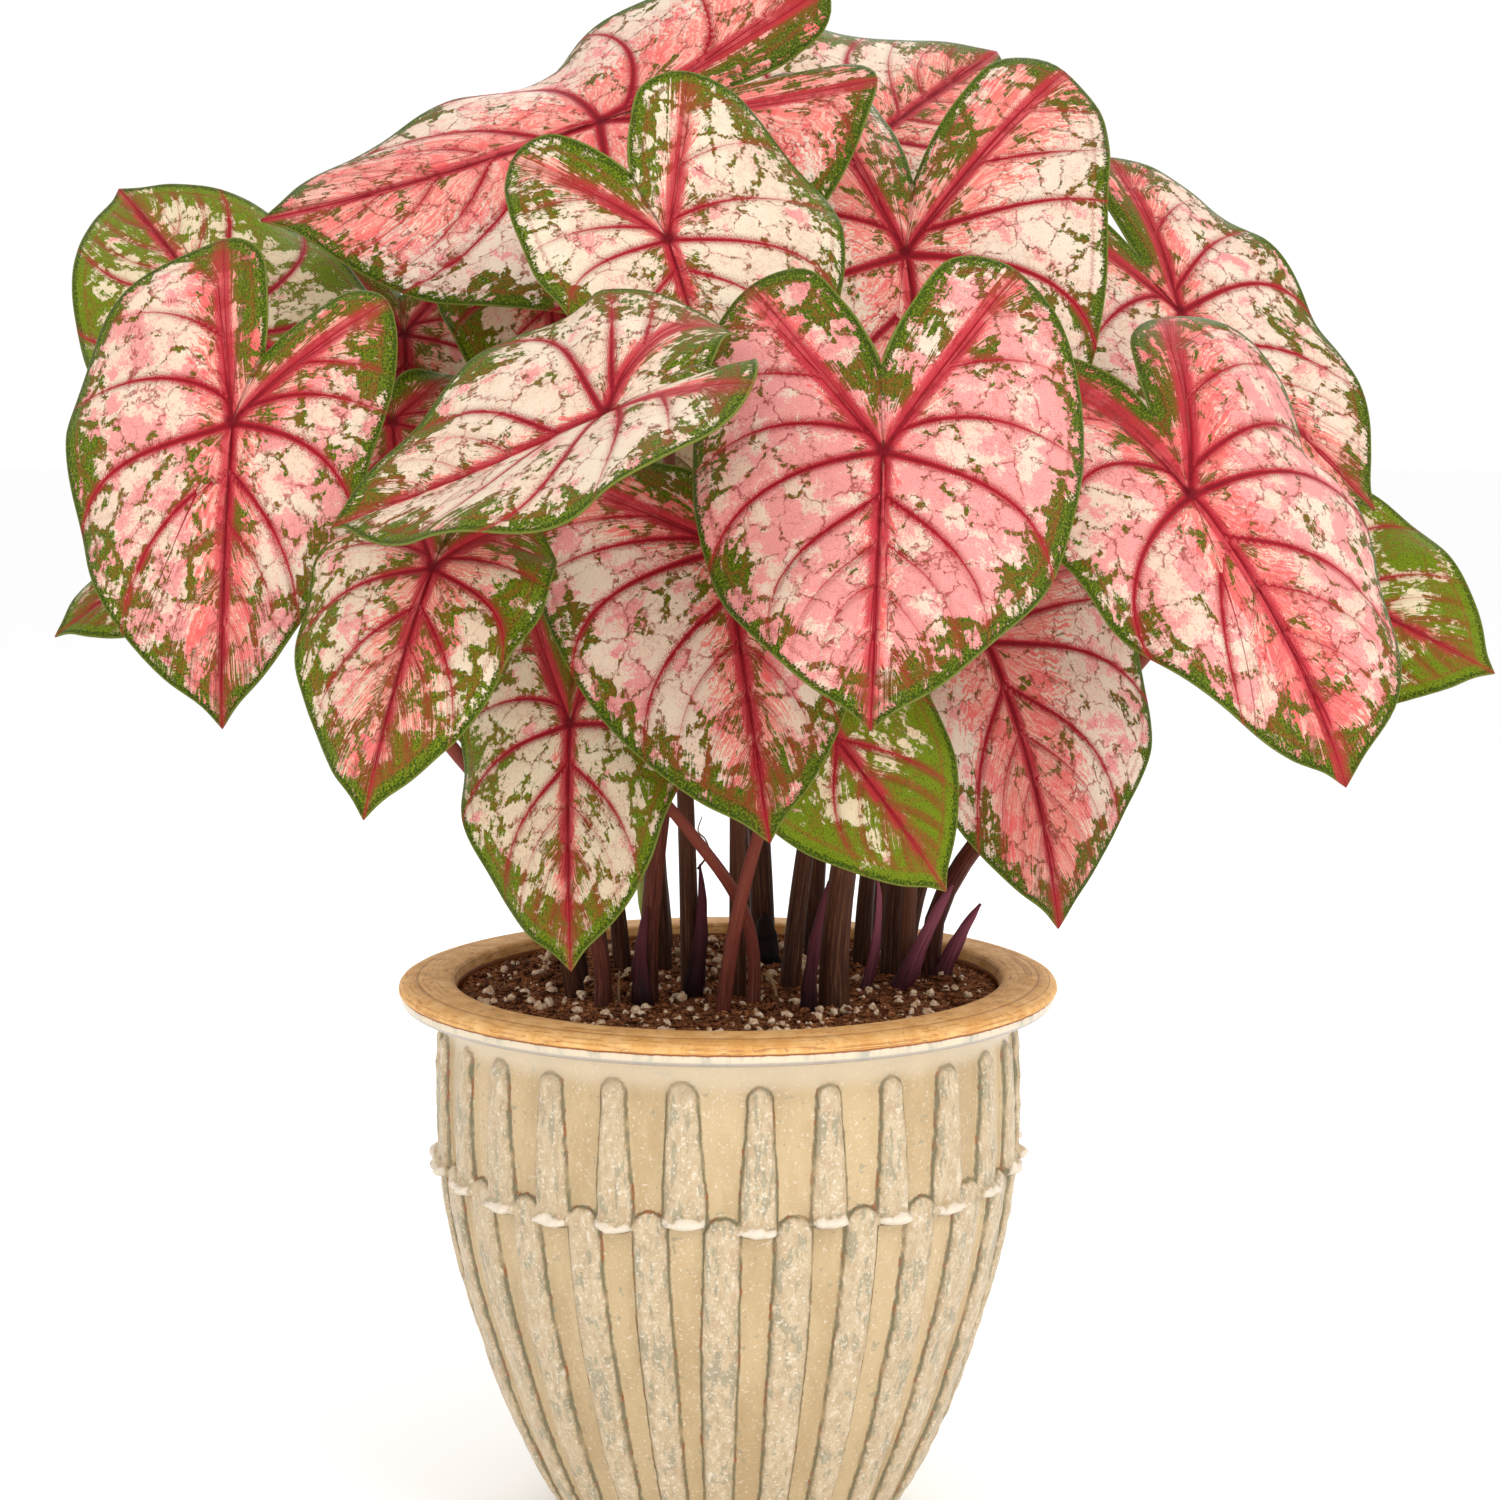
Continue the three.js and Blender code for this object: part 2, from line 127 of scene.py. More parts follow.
floor_shape = bmesh.new()
bmesh.ops.create_grid(floor_shape, x_segments=1, y_segments=1, size=FLOOR_SIZE)
floor_paint = bpy.data.materials.new("pale floor")
floor_paint.use_nodes = True
floor_skin = floor_paint.node_tree.nodes["Principled BSDF"].inputs
floor_skin["Base Color"].default_value = FLOOR_PAINT
floor_skin["Roughness"].default_value = FLOOR_ROUGHNESS
floor = link_piece("floor", mesh_from(floor_shape, "floor"), floor_paint)

add_lamp("key light", (1.3, -1.5, 1.7), 1.1, 20)
add_lamp("low fill", (0.2, -1.5, 0.25), 0.9, 4)
add_lamp("side light", (-1.6, -1.1, 1.3), 1.2, 6)
add_lamp("back light", (0.3, 1.8, 1.6), 1.4, 14)

# %% [markdown]
# ## A short way to write materials
# A procedural material is a tree of small nodes. Writing each one with its links would hide the recipe, so
# each value below knows its material: adding to it, stepping it or drawing noise at it puts in one more
# node, already linked. Colours are written as they are mixed on screen and turned to the linear light
# that Blender uses.

# %% The material helper
def paint(code):
    """A screen colour such as #c04050 as linear light."""
    screen = [int(code[start:start + 2], 16) / 255 for start in (1, 3, 5)]
    light = [part / 12.92 if part <= 0.04045 else ((part + 0.055) / 1.055) ** 2.4 for part in screen]
    return (*light, 1)


class Value:
    """What a node gives back: a number, a place or a colour. Each call on it adds nodes."""

    def __init__(self, finish, socket):
        self.finish, self.socket = finish, socket

    def work(self, operation, *others, clamp=False):
        """One sum with this value first. Clamp keeps the answer from 0 to 1."""
        values = enumerate((self, *others))
        return self.finish.node("Math", values, operation=operation, use_clamp=clamp)

    __add__ = partialmethod(work, "ADD")
    __sub__ = partialmethod(work, "SUBTRACT")
    __mul__ = partialmethod(work, "MULTIPLY")
    __truediv__ = partialmethod(work, "DIVIDE")
    __pow__ = partialmethod(work, "POWER")
    __abs__ = partialmethod(work, "ABSOLUTE")
    larger = partialmethod(work, "MAXIMUM")

    def vector(self, operation, *others, output=0):
        return self.finish.node("VectorMath", enumerate((self, *others)), output, operation=operation)

    def split(self):
        parts = self.finish.add("SeparateXYZ", {0: self}).outputs
        return [Value(self.finish, part) for part in parts]

    def step(self, low, high):
        """0 below low and 1 above high, with a soft ramp between. Low above high turns it round."""
        values = {"Value": self, "From Min": low, "From Max": high}
        return self.finish.node("MapRange", values, interpolation_type="SMOOTHSTEP")

    def noise(self, scale, detail=2.0, roughness=0.5, stretch=None, output=0):
        """Noise at this place, about 0.5 on average. It is drawn out where stretch is small."""
        place = self.vector("MULTIPLY", stretch) if stretch else self
        values = {"Vector": place, "Scale": scale, "Detail": detail, "Roughness": roughness}
        return self.finish.node("TexNoise", values, output)

    def cells(self, scale, feature="DISTANCE_TO_EDGE"):
        """How far this place is inside its cell of a random mosaic."""
        return self.finish.node("TexVoronoi", {"Vector": self, "Scale": scale}, feature=feature)

    def wander(self, scale, reach):
        """Shifts every place a little by noise, which frays whatever is drawn there."""
        shift = self.noise(scale, output=1).vector("SUBTRACT", (0.5, 0.5, 0.5))
        return self.vector("ADD", shift.vector("MULTIPLY", (reach, reach, reach)))

    def mix(self, first, second):
        """The first colour where this is 0 and the second where it is 1."""
        return self.finish.mix(self, first, second)

    def coat(self, share, colour):
        """This colour with another one laid over it where share is 1."""
        return self.finish.mix(share, self, colour)


class Finish:
    """A material whose nodes are added and fed one call at a time."""

    def __init__(self, name, roughness=0.5, shine=0.5):
        self.material = bpy.data.materials.new(name)
        self.material.use_nodes = True
        self.tree = self.material.node_tree
        self.skin = self.tree.nodes["Principled BSDF"].inputs
        self.skin["Roughness"].default_value = roughness
        self.skin["Specular IOR Level"].default_value = shine

    def feed(self, socket, value):
        """Links a node's value to a socket, or sets the socket to a number or a screen colour."""
        if isinstance(value, Value):
            self.tree.links.new(value.socket, socket)
        else:
            socket.default_value = paint(value) if isinstance(value, str) else value

    def add(self, kind, inputs=(), **settings):
        """A new node with its settings made and its inputs fed."""
        node = self.tree.nodes.new("ShaderNode" + kind)
        for key, value in settings.items():
            setattr(node, key, value)
        for key, value in dict(inputs).items():
            self.feed(node.inputs[key], value)
        return node

    def node(self, kind, inputs=(), output=0, **settings):
        return Value(self, self.add(kind, inputs, **settings).outputs[output])

    def attribute(self, name):
        return self.node("Attribute", output="Vector", attribute_name=name)

    def places(self):
        return self.node("TexCoord", output="Object")

    def mix(self, share, first, second):
        return self.node("Mix", {0: share, 6: first, 7: second}, 2, data_type="RGBA")

    def done(self, colour, height, distance, strength):
        """Feeds the colour and a bump of this height, and gives the material."""
        bump = self.node("Bump", {"Height": height, "Distance": distance, "Strength": strength})
        self.feed(self.skin["Base Color"], colour)
        self.feed(self.skin["Normal"], bump)
        return self.material


print("screen pink as light:", [round(part, 3) for part in paint("#ee8b95")[:3]])

# %% [markdown]
# ## How a leaf is bent
# Each blade starts as a flat heart around the point where its stem joins. The flat heart is then bent:
# the tip and the lobes droop, the halves arch and fold along the midrib, and the edge waves. The frame's
# leaves were made in just this way from few points, so a fine mesh with the same bends lies in the same
# place. One row below holds one leaf under its number: where it joins, how it points, its outline, its
# bends, its stem and its paint. Lengths are in millimetres and angles in degrees.

# %% One row for each leaf
LEAF_KEYS = (
    "x y z azimuth pitch roll tip width lobe notch droop rear arch fold lift splay skew turn twist "
    "wave root_x root_y rise reach thick pink green flush"
).split()
LEAF_ROWS = """
01 -182 -95 455 -95 -70 6 115 0.56 0.58 0.25 10 10 35 12 -5 -3 -0.1 -22 0 3 -60 -24 120 40 4.6 0.6 0.35 0.3
02 -204 20 494 130 35 -30 118 0.52 0.66 0.3 5 15 30 8 5 -5 0 -5 0 3 -60 8 130 40 4.4 0.1 0.9 0.12
03 -205 20 412 190 -25 -30 85 0.6 0.5 0.28 20 15 30 10 0 0 0 0 0 3 -64 34 110 40 4 0.3 0.7 0.2
04 -50 10 575 190 -20 -42 143 0.58 0.7 0.38 -5 0 40 0 30 -12 0.1 -5 -10 4 15 56 240 40 6 0.35 0.15 0.8
05 -21 -100 521 -60 -58 15 80 0.78 0.8 0.36 0 -10 28 8 -20 0 0.16 15 5 3 -15 -18 130 40 4.4 0.15 0.4 0.1
06 50 80 566 52 28 38 138 0.62 0.4 0.2 10 15 20 5 0 0 0 0 0 4 37 86 200 20 4.6 0.3 0.35 0.5
07 70 -20 521 -80 -58 12 142 0.57 0.75 0.25 25 30 15 10 5 5 0 -12 0 4 24 -8 70 80 4.6 0.25 0.25 0.5
08 -38 -205 457 165 -25 -35 105 0.68 0.52 0.36 -5 15 35 25 -15 8 0 10 20 3 -31 -36 120 20 4.4 0.2 0.35 0.1
09 54 -185 445 -96 -56 0 108 0.66 0.76 0.3 -5 -5 32 0 0 4 0 3 0 3 43 -44 70 50 7 0.85 0.22 0.1
10 -100 -170 405 -118 -55 -12 92 0.53 0.42 0.24 25 25 30 0 -12 -3 -0.15 -5 -5 3 -52 -46 60 25 3.8 0.3 0.5 0.4
11 0 -125 410 -72 -63 20 110 0.58 0.45 0.2 15 25 35 15 10 18 -0.14 0 0 3 4 -24 240 40 4 0.45 0.3 0.3
12 166 -130 429 -32 -48 32 121 0.63 0.66 0.3 32 50 58 15 20 -15 0.18 -20 5 4 88 18 110 60 4.8 0.75 0.25 0.4
13 184 20 500 -8 -46 40 114 0.62 0.7 0.24 -5 5 15 10 -12 -5 0 -12 -5 3 67 21 210 40 4.6 0.35 0.25 0.3
14 239 20 390 -28 -22 60 85 0.63 0.66 0.3 12 12 28 0 8 0 0 0 0 3 74 50 160 40 4.2 0.1 0.9 0.12
15 -58 -95 343 -92 -62 28 95 0.58 0.72 0.28 12 17 30 10 0 -5 0 0 0 3 9 -41 60 25 3 0.15 0.65 0.1
16 103 -15 368 -42 -60 12 120 0.62 0.38 0.22 30 15 10 5 0 0 0.14 0 0 3 73 0 80 40 4 0.4 0.2 0.7
17 32 -115 350 -15 -50 60 84 0.54 0.36 0.2 15 15 20 5 0 0 0 0 0 3 -3 -54 50 40 3.4 0.1 0.95 0.06
18 -137 58 492 -80 -55 0 93 0.58 0.5 0.26 20 15 20 5 0 0 0 0 0 3 -44 34 140 40 4.2 0.3 0.5 0.4
19 -133 -18 455 -75 -60 0 74 0.6 0.36 0.2 20 15 20 5 0 0 0 0 0 3 -50 2 120 40 3.8 0.3 0.5 0.4
20 -74 35 513 -80 -55 0 80 0.6 0.5 0.26 20 15 20 5 0 0 0 0 0 3 -27 30 140 40 4 0.3 0.5 0.4
21 139 80 500 -40 -50 25 95 0.6 0.5 0.26 20 15 20 5 0 0 0 0 0 3 56 46 150 40 4.2 0.3 0.5 0.4
22 -120 140 465 125 -45 0 120 0.6 0.55 0.28 20 15 30 8 0 0 0 0 0 4 -29 56 260 25 4.6 0.3 0.5 0.4
23 0 150 500 92 -45 0 125 0.6 0.55 0.28 20 15 30 8 0 0 0 0 0 4 10 90 150 50 4.4 0.3 0.5 0.4
24 125 145 450 55 -45 0 120 0.6 0.45 0.24 20 15 30 8 0 0 0 0 0 4 36 58 240 25 4.6 0.3 0.5 0.4
25 -70 150 390 108 -60 0 110 0.6 0.55 0.28 20 15 30 8 0 0 0 0 0 4 -28 84 80 50 4.4 0.3 0.5 0.4
26 80 150 385 75 -60 0 110 0.6 0.4 0.22 20 15 30 8 0 0 0 0 0 4 66 70 80 40 4.4 0.3 0.5 0.4
"""
STEM_BENDS = {
    "08": (-8, -98, 457), "09": (60, -70, 376), "10": (-118, -70, 350), "12": (185, 37, 371),
    "15": (-14, -70, 298),
}

leaves = {}
for row in LEAF_ROWS.strip().splitlines():
    name, *numbers = row.split()
    leaf = dict(zip(LEAF_KEYS, map(float, numbers)), name=name)
    leaf["centre"] = np.array((leaf["x"], leaf["y"], leaf["z"]))
    leaf["root"] = (leaf["root_x"], leaf["root_y"])
    leaves[name] = leaf
print("leaves:", len(leaves), "longest tip", max(leaf["tip"] for leaf in leaves.values()), "mm")

# %% [markdown]
# The outline of half a leaf is a short list of shares along the midrib and across it. The veins use such
# shares too, so that on a broad leaf or a narrow one they spread with the blade. Everything below works
# on whole arrays at once, which makes a fine mesh quick to bend.

# %% The flat leaf
HALF_EDGE = [
    (1, 0), (0.93, 0.11), (0.84, 0.31), (0.68, 0.55), (0.46, 0.78), (0.18, 0.94), (-0.15, 1),
    (-0.48, 0.96), (-0.8, 0.8), (-0.99, 0.57), (-0.97, 0.33),
]
NOTCH_CORNERS = ((0.4, 0.46), (0.75, 0.15))
LOBE_START, LOBE_RAMP, NOTCH_FADE = 80, 70, 35
CURVE_STEPS = 12


def ease(value):
    """A soft ramp from 0 to 1."""
    share = np.clip(value, 0, 1)
    return share * share * (3 - 2 * share)


def flat_points(leaf, shares, side):
    """Shares along and across one half of the leaf as flat millimetres."""
    along, across = np.asarray(shares, float).T
    along = np.where(along > 0, along, along * leaf["lobe"])
    across = across * leaf["width"] * (1 + side * leaf["skew"])
    angle = np.degrees(np.arctan2(across, along))
    behind = ease((angle - LOBE_START) / LOBE_RAMP)
    spread = leaf["splay"] * behind * np.clip((180 - angle) / NOTCH_FADE, 0, 1)
    swung = np.radians(side * (angle - spread) + leaf["turn"] * behind)
    radius = np.hypot(along, across) * leaf["tip"]
    return np.column_stack((radius * np.cos(swung), radius * np.sin(swung)))


def smooth_line(points, count):
    """A curve through the points, resampled at even steps (a centripetal Catmull-Rom curve)."""
    points = np.asarray(points, float)
    padded = np.vstack((2 * points[0] - points[1], points, 2 * points[-1] - points[-2]))
    share = np.linspace(0, 1, CURVE_STEPS, endpoint=False)[:, None]
    pieces = []
    for index in range(len(points) - 1):
        a, b, c, d = padded[index:index + 4]
        before, here, after = (np.linalg.norm(step) ** 0.5 for step in (b - a, c - b, d - c))
        leave = here * ((b - a) / before - (c - a) / (before + here) + (c - b) / here)
        arrive = here * ((c - b) / here - (d - b) / (here + after) + (d - c) / after)
        square, cube = 3 * (c - b) - 2 * leave - arrive, 2 * (b - c) + leave + arrive
        pieces.append(b + leave * share + square * share ** 2 + cube * share ** 3)
    return resampled(np.vstack((*pieces, points[-1:])), count)


def resampled(line, count):
    """The same line with its points at even steps."""
    steps = np.concatenate(([0], np.cumsum(np.linalg.norm(np.diff(line, axis=0), axis=1))))
    wanted = np.linspace(0, steps[-1], count)
    return np.column_stack([np.interp(wanted, steps, values) for values in line.T])


def half_edge(leaf, side):
    """The corner points of one half's outline, from the tip round the lobe to the notch."""
    lobe_along, lobe_across = HALF_EDGE[-1][0] * leaf["lobe"], HALF_EDGE[-1][1]
    inner = [((lobe_along - (leaf["notch"] + lobe_along) * share) / leaf["lobe"], lobe_across * across)
             for share, across in NOTCH_CORNERS]
    shares = [*HALF_EDGE, *inner, (-leaf["notch"] / leaf["lobe"], 0)]
    return flat_points(leaf, shares, side)


edge_sample = half_edge(leaves["09"], 1)
print("half outline of leaf 09 spans", np.ptp(edge_sample, axis=0).round(1), "mm")

# %% The bend
BLADE_HALF = 0.4
EDGE_WAVES = 7


def leaf_frame(leaf):
    """Three directions: along the midrib, across it, and out of the upper face."""
    azimuth, pitch, roll = (math.radians(leaf[key]) for key in ("azimuth", "pitch", "roll"))
    along = np.array((
        math.cos(pitch) * math.cos(azimuth), math.cos(pitch) * math.sin(azimuth), math.sin(pitch)))
    level = np.array((-math.sin(azimuth), math.cos(azimuth), 0))
    square = np.cross(along, level)
    across = level * math.cos(roll) + square * math.sin(roll)
    out = -level * math.sin(roll) + square * math.cos(roll)
    return along, across, out


def bend(leaf, flat, share, lift=0.0):
    """Flat millimetres to the bent blade in metres; lift raises a point off the upper face."""
    along, across = flat[:, 0], flat[:, 1]
    lobe_length = leaf["lobe"] * leaf["tip"]
    droop_rate = np.radians(leaf["droop"] / leaf["tip"]) or 1e-7
    rear_rate = np.radians(leaf["rear"] / lobe_length) or 1e-7
    bend_rate = np.where(along > 0, droop_rate, rear_rate)
    arch_rate = -math.radians(leaf["arch"]) / (leaf["width"] * leaf["tip"]) or 1e-7
    turn_here = bend_rate * along
    lobe_share = np.clip(-along / lobe_length, 0, 1)
    side = np.sign(across)
    start = np.radians(leaf["fold"] + (leaf["lift"] + side * leaf["twist"]) * lobe_share)
    reach = np.abs(across)
    sideways = (np.sin(start + arch_rate * reach) - np.sin(start)) / arch_rate
    wave = leaf["wave"] * np.sin(EDGE_WAVES * np.arctan2(across, along) + leaf["azimuth"]) * share ** 3
    height = (np.cos(start) - np.cos(start + arch_rate * reach)) / arch_rate + wave + BLADE_HALF + lift
    local = (
        np.sin(turn_here) / bend_rate + height * np.sin(turn_here),
        sideways * side,
        -(1 - np.cos(turn_here)) / bend_rate + height * np.cos(turn_here),
    )
    moved = sum(part[:, None] * direction for part, direction in zip(local, leaf_frame(leaf)))
    return (leaf["centre"] + moved) * MM


print("tip of leaf 09 at", bend(leaves["09"], edge_sample[:1], np.ones(1)).round(3))

# %% [markdown]
# ## Where the veins run
# A caladium's veins start at the stem: the midrib to the tip, two strong basal veins into the lobes, and
# curved side veins off all three that swing towards the tip near the edge. Instead of drawing each vein,
# every point of the blade learns its place among them: how far it lies between two neighbouring veins, how
# wide that gap is, and how stout the veins are there. A material can then draw a crisp vein wherever that
# place is a whole number, whatever the size of the mesh's faces.

# %% Vein routes
MIDRIB = ((0, 0), (0.33, 0), (0.66, 0), (1.06, 0))
BASAL = ((0, 0), (-0.3, 0.2), (-0.66, 0.42), (-0.95, 0.62))
NOTCH = ((0, 0), (-0.3, 0), (-0.6, 0), (-0.95, 0))
# Each side vein: the rib that it leaves, its half width there and at its end, and its handles in shares.
SIDE_VEINS = [
    ("midrib", 0.3, 0.2, ((0.8, 0), (0.84, 0.05), (0.88, 0.08), (0.97, 0.07))),
    ("midrib", 0.35, 0.2, ((0.66, 0), (0.71, 0.09), (0.78, 0.16), (0.93, 0.17))),
    ("midrib", 0.4, 0.2, ((0.5, 0), (0.57, 0.14), (0.66, 0.27), (0.89, 0.29))),
    ("midrib", 0.5, 0.2, ((0.34, 0), (0.42, 0.18), (0.54, 0.39), (0.83, 0.41))),
    ("midrib", 1.0, 0.25, ((0.17, 0), (0.3, 0.26), (0.44, 0.54), (0.76, 0.53))),
    ("midrib", 1.15, 0.3, ((0.01, 0), (0.07, 0.42), (0.1, 0.86), (0.46, 0.86))),
    ("basal", 1.0, 0.3, ((-0.1, 0.08), (-0.18, 0.32), (-0.22, 0.64), (-0.1, 0.97))),
    ("basal", 0.7, 0.2, ((-0.42, 0.28), (-0.47, 0.45), (-0.52, 0.65), (-0.47, 0.93))),
    ("basal", 0.4, 0.2, ((-0.7, 0.45), (-0.75, 0.56), (-0.78, 0.68), (-0.74, 0.84))),
]
MIDRIB_HALF = (1.6, 0.45)
BASAL_HALF = (1.4, 0.4)
VEIN_STRAY = 0.022
VEIN_POINTS = 30
BRANCH_POINTS = 16
FULL_TIP = 115


def bezier(handles, count):
    """A curve that starts and ends at its outer handles and leans towards the inner two."""
    share = np.linspace(0, 1, count)[:, None]
    a, b, c, d = (np.asarray(handle, float) for handle in handles)
    rest = 1 - share
    return rest ** 3 * a + 3 * share * rest ** 2 * b + 3 * share ** 2 * rest * c + share ** 3 * d


def rib_until(route, half, start):
    """The part of a rib from the stem to where a side vein leaves, with the rib's own stoutness."""
    line = bezier(route, VEIN_POINTS)
    kept = line[np.hypot(*line.T) < math.hypot(*start) - 1e-6]
    share = np.linspace(0, 1, VEIN_POINTS)[:len(kept)]
    return kept, half[0] + (half[1] - half[0]) * share


def vein_lines(leaf, side):
    """Every vein of one half, in order from the midrib to the notch: flat points and half widths."""
    ribs = {"midrib": (MIDRIB, MIDRIB_HALF), "basal": (BASAL, BASAL_HALF)}
    midrib, basal = ((bezier(route, VEIN_POINTS), np.linspace(*half, VEIN_POINTS))
                     for route, half in ribs.values())
    branches = []
    stray = np.random.default_rng(int(leaf["name"]) * 2 + side)
    for rib, stout, thin, handles in SIDE_VEINS:
        free = np.asarray(handles[1:]) + stray.normal(0, VEIN_STRAY, (3, 2))
        stem, stem_half = rib_until(*ribs[rib], handles[0])
        branch = bezier((handles[0], *free), BRANCH_POINTS)
        beyond = branch[-1] + (branch[-1] - branch[-2]) * 3
        half = np.concatenate((stem_half, np.linspace(stout, thin, BRANCH_POINTS + 1)))
        branches.append((np.vstack((stem, branch, beyond)), half))
    notch = (bezier(NOTCH, VEIN_POINTS), np.zeros(VEIN_POINTS))
    scale = leaf["tip"] / FULL_TIP
    return [(flat_points(leaf, line, side), half * scale)
            for line, half in (midrib, *branches, basal, notch)]


def nearest_on(line, half, points, side):
    """Distance of each point to a line, signed by the side it lies on, and the vein's stoutness there."""
    start, end = line[:-1], line[1:]
    step = end - start
    length = np.maximum((step ** 2).sum(axis=1), 1e-9)
    offset = points[:, None, :] - start[None]
    share = np.clip((offset * step).sum(axis=2) / length, 0, 1)
    gap = np.linalg.norm(offset - share[..., None] * step, axis=2)
    pick = gap.argmin(axis=1)
    rows = np.arange(len(points))
    cross = step[pick, 0] * offset[rows, pick, 1] - step[pick, 1] * offset[rows, pick, 0]
    width = half[pick] + (half[pick + 1] - half[pick]) * share[rows, pick]
    return gap[rows, pick] * np.where(cross * side > 0, 1, -1), width


def vein_places(leaf, points, side):
    """Place among the veins, width of the gap between two, stoutness, and distance to the nearest rib."""
    lines = vein_lines(leaf, side)
    found = [nearest_on(line, half, points, side) for line, half in lines]
    gaps = np.array([gap for gap, _ in found])
    widths = np.array([width for _, width in found])
    rows = np.arange(len(points))
    sector = np.clip((gaps > 0).sum(axis=0) - 1, 0, len(lines) - 2)
    low, high = np.abs(gaps[sector, rows]), np.abs(gaps[sector + 1, rows])
    share = low / np.maximum(low + high, 1e-6)
    width = widths[sector, rows] * (1 - share) + widths[sector + 1, rows] * share
    rib = np.minimum(np.abs(gaps[0]), np.abs(gaps[-2]))
    return sector + share, low + high, width, rib


print("veins on each half:", len(vein_lines(leaves["09"], 1)) - 1)

# %% [markdown]
# ## The blade's mesh
# A flat grid has rows and columns, and a leaf has rings and rays. So each blade starts as a grid whose
# columns become rays from the stem's joint to the edge and whose rows become rings, and the doubled
# points at the joint and along the first ray are merged. The blade between two veins swells a little, as
# on the living leaf, and the very edge ripples. A Solidify modifier then gives the sheet its thickness.

# %% Wrap a grid into any sheet
MERGE_GAP = 2e-6


def add_numbers(mesh, name, values):
    """Three numbers for each point of a mesh, which a material can read by this name."""
    mesh.attributes.new(name, "FLOAT_VECTOR", "POINT").data.foreach_set("vector", values.ravel())


def points_of(mesh):
    """The places of all points as rows."""
    spots = np.empty(len(mesh.vertices) * 3)
    mesh.vertices.foreach_get("co", spots)
    return spots.reshape(-1, 3)


def noise_at(x, y, z):
    """Noise at many places. A single number stands for the same number everywhere."""
    return np.array([noise.noise(spot) for spot in zip(*np.broadcast_arrays(x, y, z))])


def wrapped_grid(name, columns, rows, shape_of, close=True):
    """A grid of columns by rows, each point moved to where shape_of puts it, with doubles merged.

    shape_of takes the column and the row of every point as arrays and gives their places in metres and
    a table of named three-number attributes.
    """
    shape = bmesh.new()
    bmesh.ops.create_grid(shape, x_segments=columns, y_segments=rows, size=1)
    mesh = bpy.data.meshes.new(name)
    shape.to_mesh(mesh)
    across, up, _ = points_of(mesh).T
    column = np.rint((1 - across) / 2 * columns).astype(int)
    row = np.rint((up + 1) / 2 * rows).astype(int)
    places, attributes = shape_of(column, row)
    mesh.vertices.foreach_set("co", places.ravel())
    for key, values in attributes.items():
        add_numbers(mesh, key, values)
    shape.clear()
    shape.from_mesh(mesh)
    if close:
        bmesh.ops.remove_doubles(shape, verts=shape.verts, dist=MERGE_GAP)
    shape.to_mesh(mesh)
    shape.free()
    mesh.shade_smooth()
    return mesh


def add_wall(piece, thickness, under_slot=0):
    """Gives an open sheet its thickness, all of it behind the face that shows."""
    wall = piece.modifiers.new("wall", "SOLIDIFY")
    wall.thickness = thickness
    wall.offset = -1
    wall.material_offset = under_slot


# %% One blade
RAYS = 168
RINGS = 36
QUILT_HEIGHT = 1.1
QUILT_FULL_GAP = 16
QUILT_EDGE = 9
RIPPLE_HEIGHT = 1.0
RIPPLE_PITCH = 5
GRAIN_SPREAD = 12
PATTERN_STEP = 10.0
BLADE_WALL = 0.0007


def blade_shape(leaf):
    """What wrapped_grid needs to make this leaf."""
    seed = int(leaf["name"])
    half = RAYS // 2
    right, left = (smooth_line(half_edge(leaf, side), half + 1) for side in (1, -1))
    edge = np.vstack((right, left[-2:0:-1]))
    angle = np.linspace(0, 2 * math.pi, RAYS, endpoint=False)
    ripple = noise_at(np.cos(angle) * RIPPLE_PITCH, np.sin(angle) * RIPPLE_PITCH, seed * 3.7)

    def shape_of(column, row):
        ray, share = column % RAYS, row / RINGS
        flat = edge[ray] * share[:, None]
        on_right = ray <= half
        found = np.empty((4, len(flat)))
        for side, chosen in ((1, on_right), (-1, ~on_right)):
            found[:, chosen] = vein_places(leaf, flat[chosen], side)
        place, gap, width, rib = found
        edge_gap = edge_distance(edge, flat)
        between = np.sin(np.pi * (place % 1)) ** 0.7 * np.clip(gap / QUILT_FULL_GAP, 0, 1)
        swell = QUILT_HEIGHT * between * ease(edge_gap / QUILT_EDGE)
        shiver = RIPPLE_HEIGHT * ripple[ray] * share ** 5
        spots = bend(leaf, flat, share, swell + shiver)
        numbers = np.full(len(flat), seed * PATTERN_STEP)
        turned = np.where(on_right, place, -place)
        return spots, {
            "flat": np.column_stack((flat, numbers)),
            "veins": np.column_stack((place, gap, width)),
            "zones": np.column_stack((edge_gap, rib, numbers)),
            "grain": np.column_stack((turned * GRAIN_SPREAD, rib, numbers)),
        }
    return shape_of


def edge_distance(edge, points):
    """How far each flat point lies from the leaf's outline."""
    loop = np.vstack((edge, edge[:1]))
    gap, _ = nearest_on(loop, np.zeros(len(loop)), points, 1)
    return np.abs(gap)


sample = wrapped_grid("sample blade", RAYS, RINGS, blade_shape(leaves["09"]))
print("one blade:", len(sample.polygons), "faces before its thickness")
bpy.data.meshes.remove(sample)

# %% [markdown]
# ## The painted leaf
# A blade is painted in five layers. The ground is cream with soft pink patches, crossed by fine threads.
# A coral flush spreads from the ribs and is torn by streaks that run with the side veins. Green and
# brick-red flecks cover both near the ribs, along the net of small veins and towards the edge. A dark
# speckled hem follows the outline. The main veins lie on top, crimson in a frayed rose seam. Three
# numbers for each leaf say how pink, how green and how flushed it is.

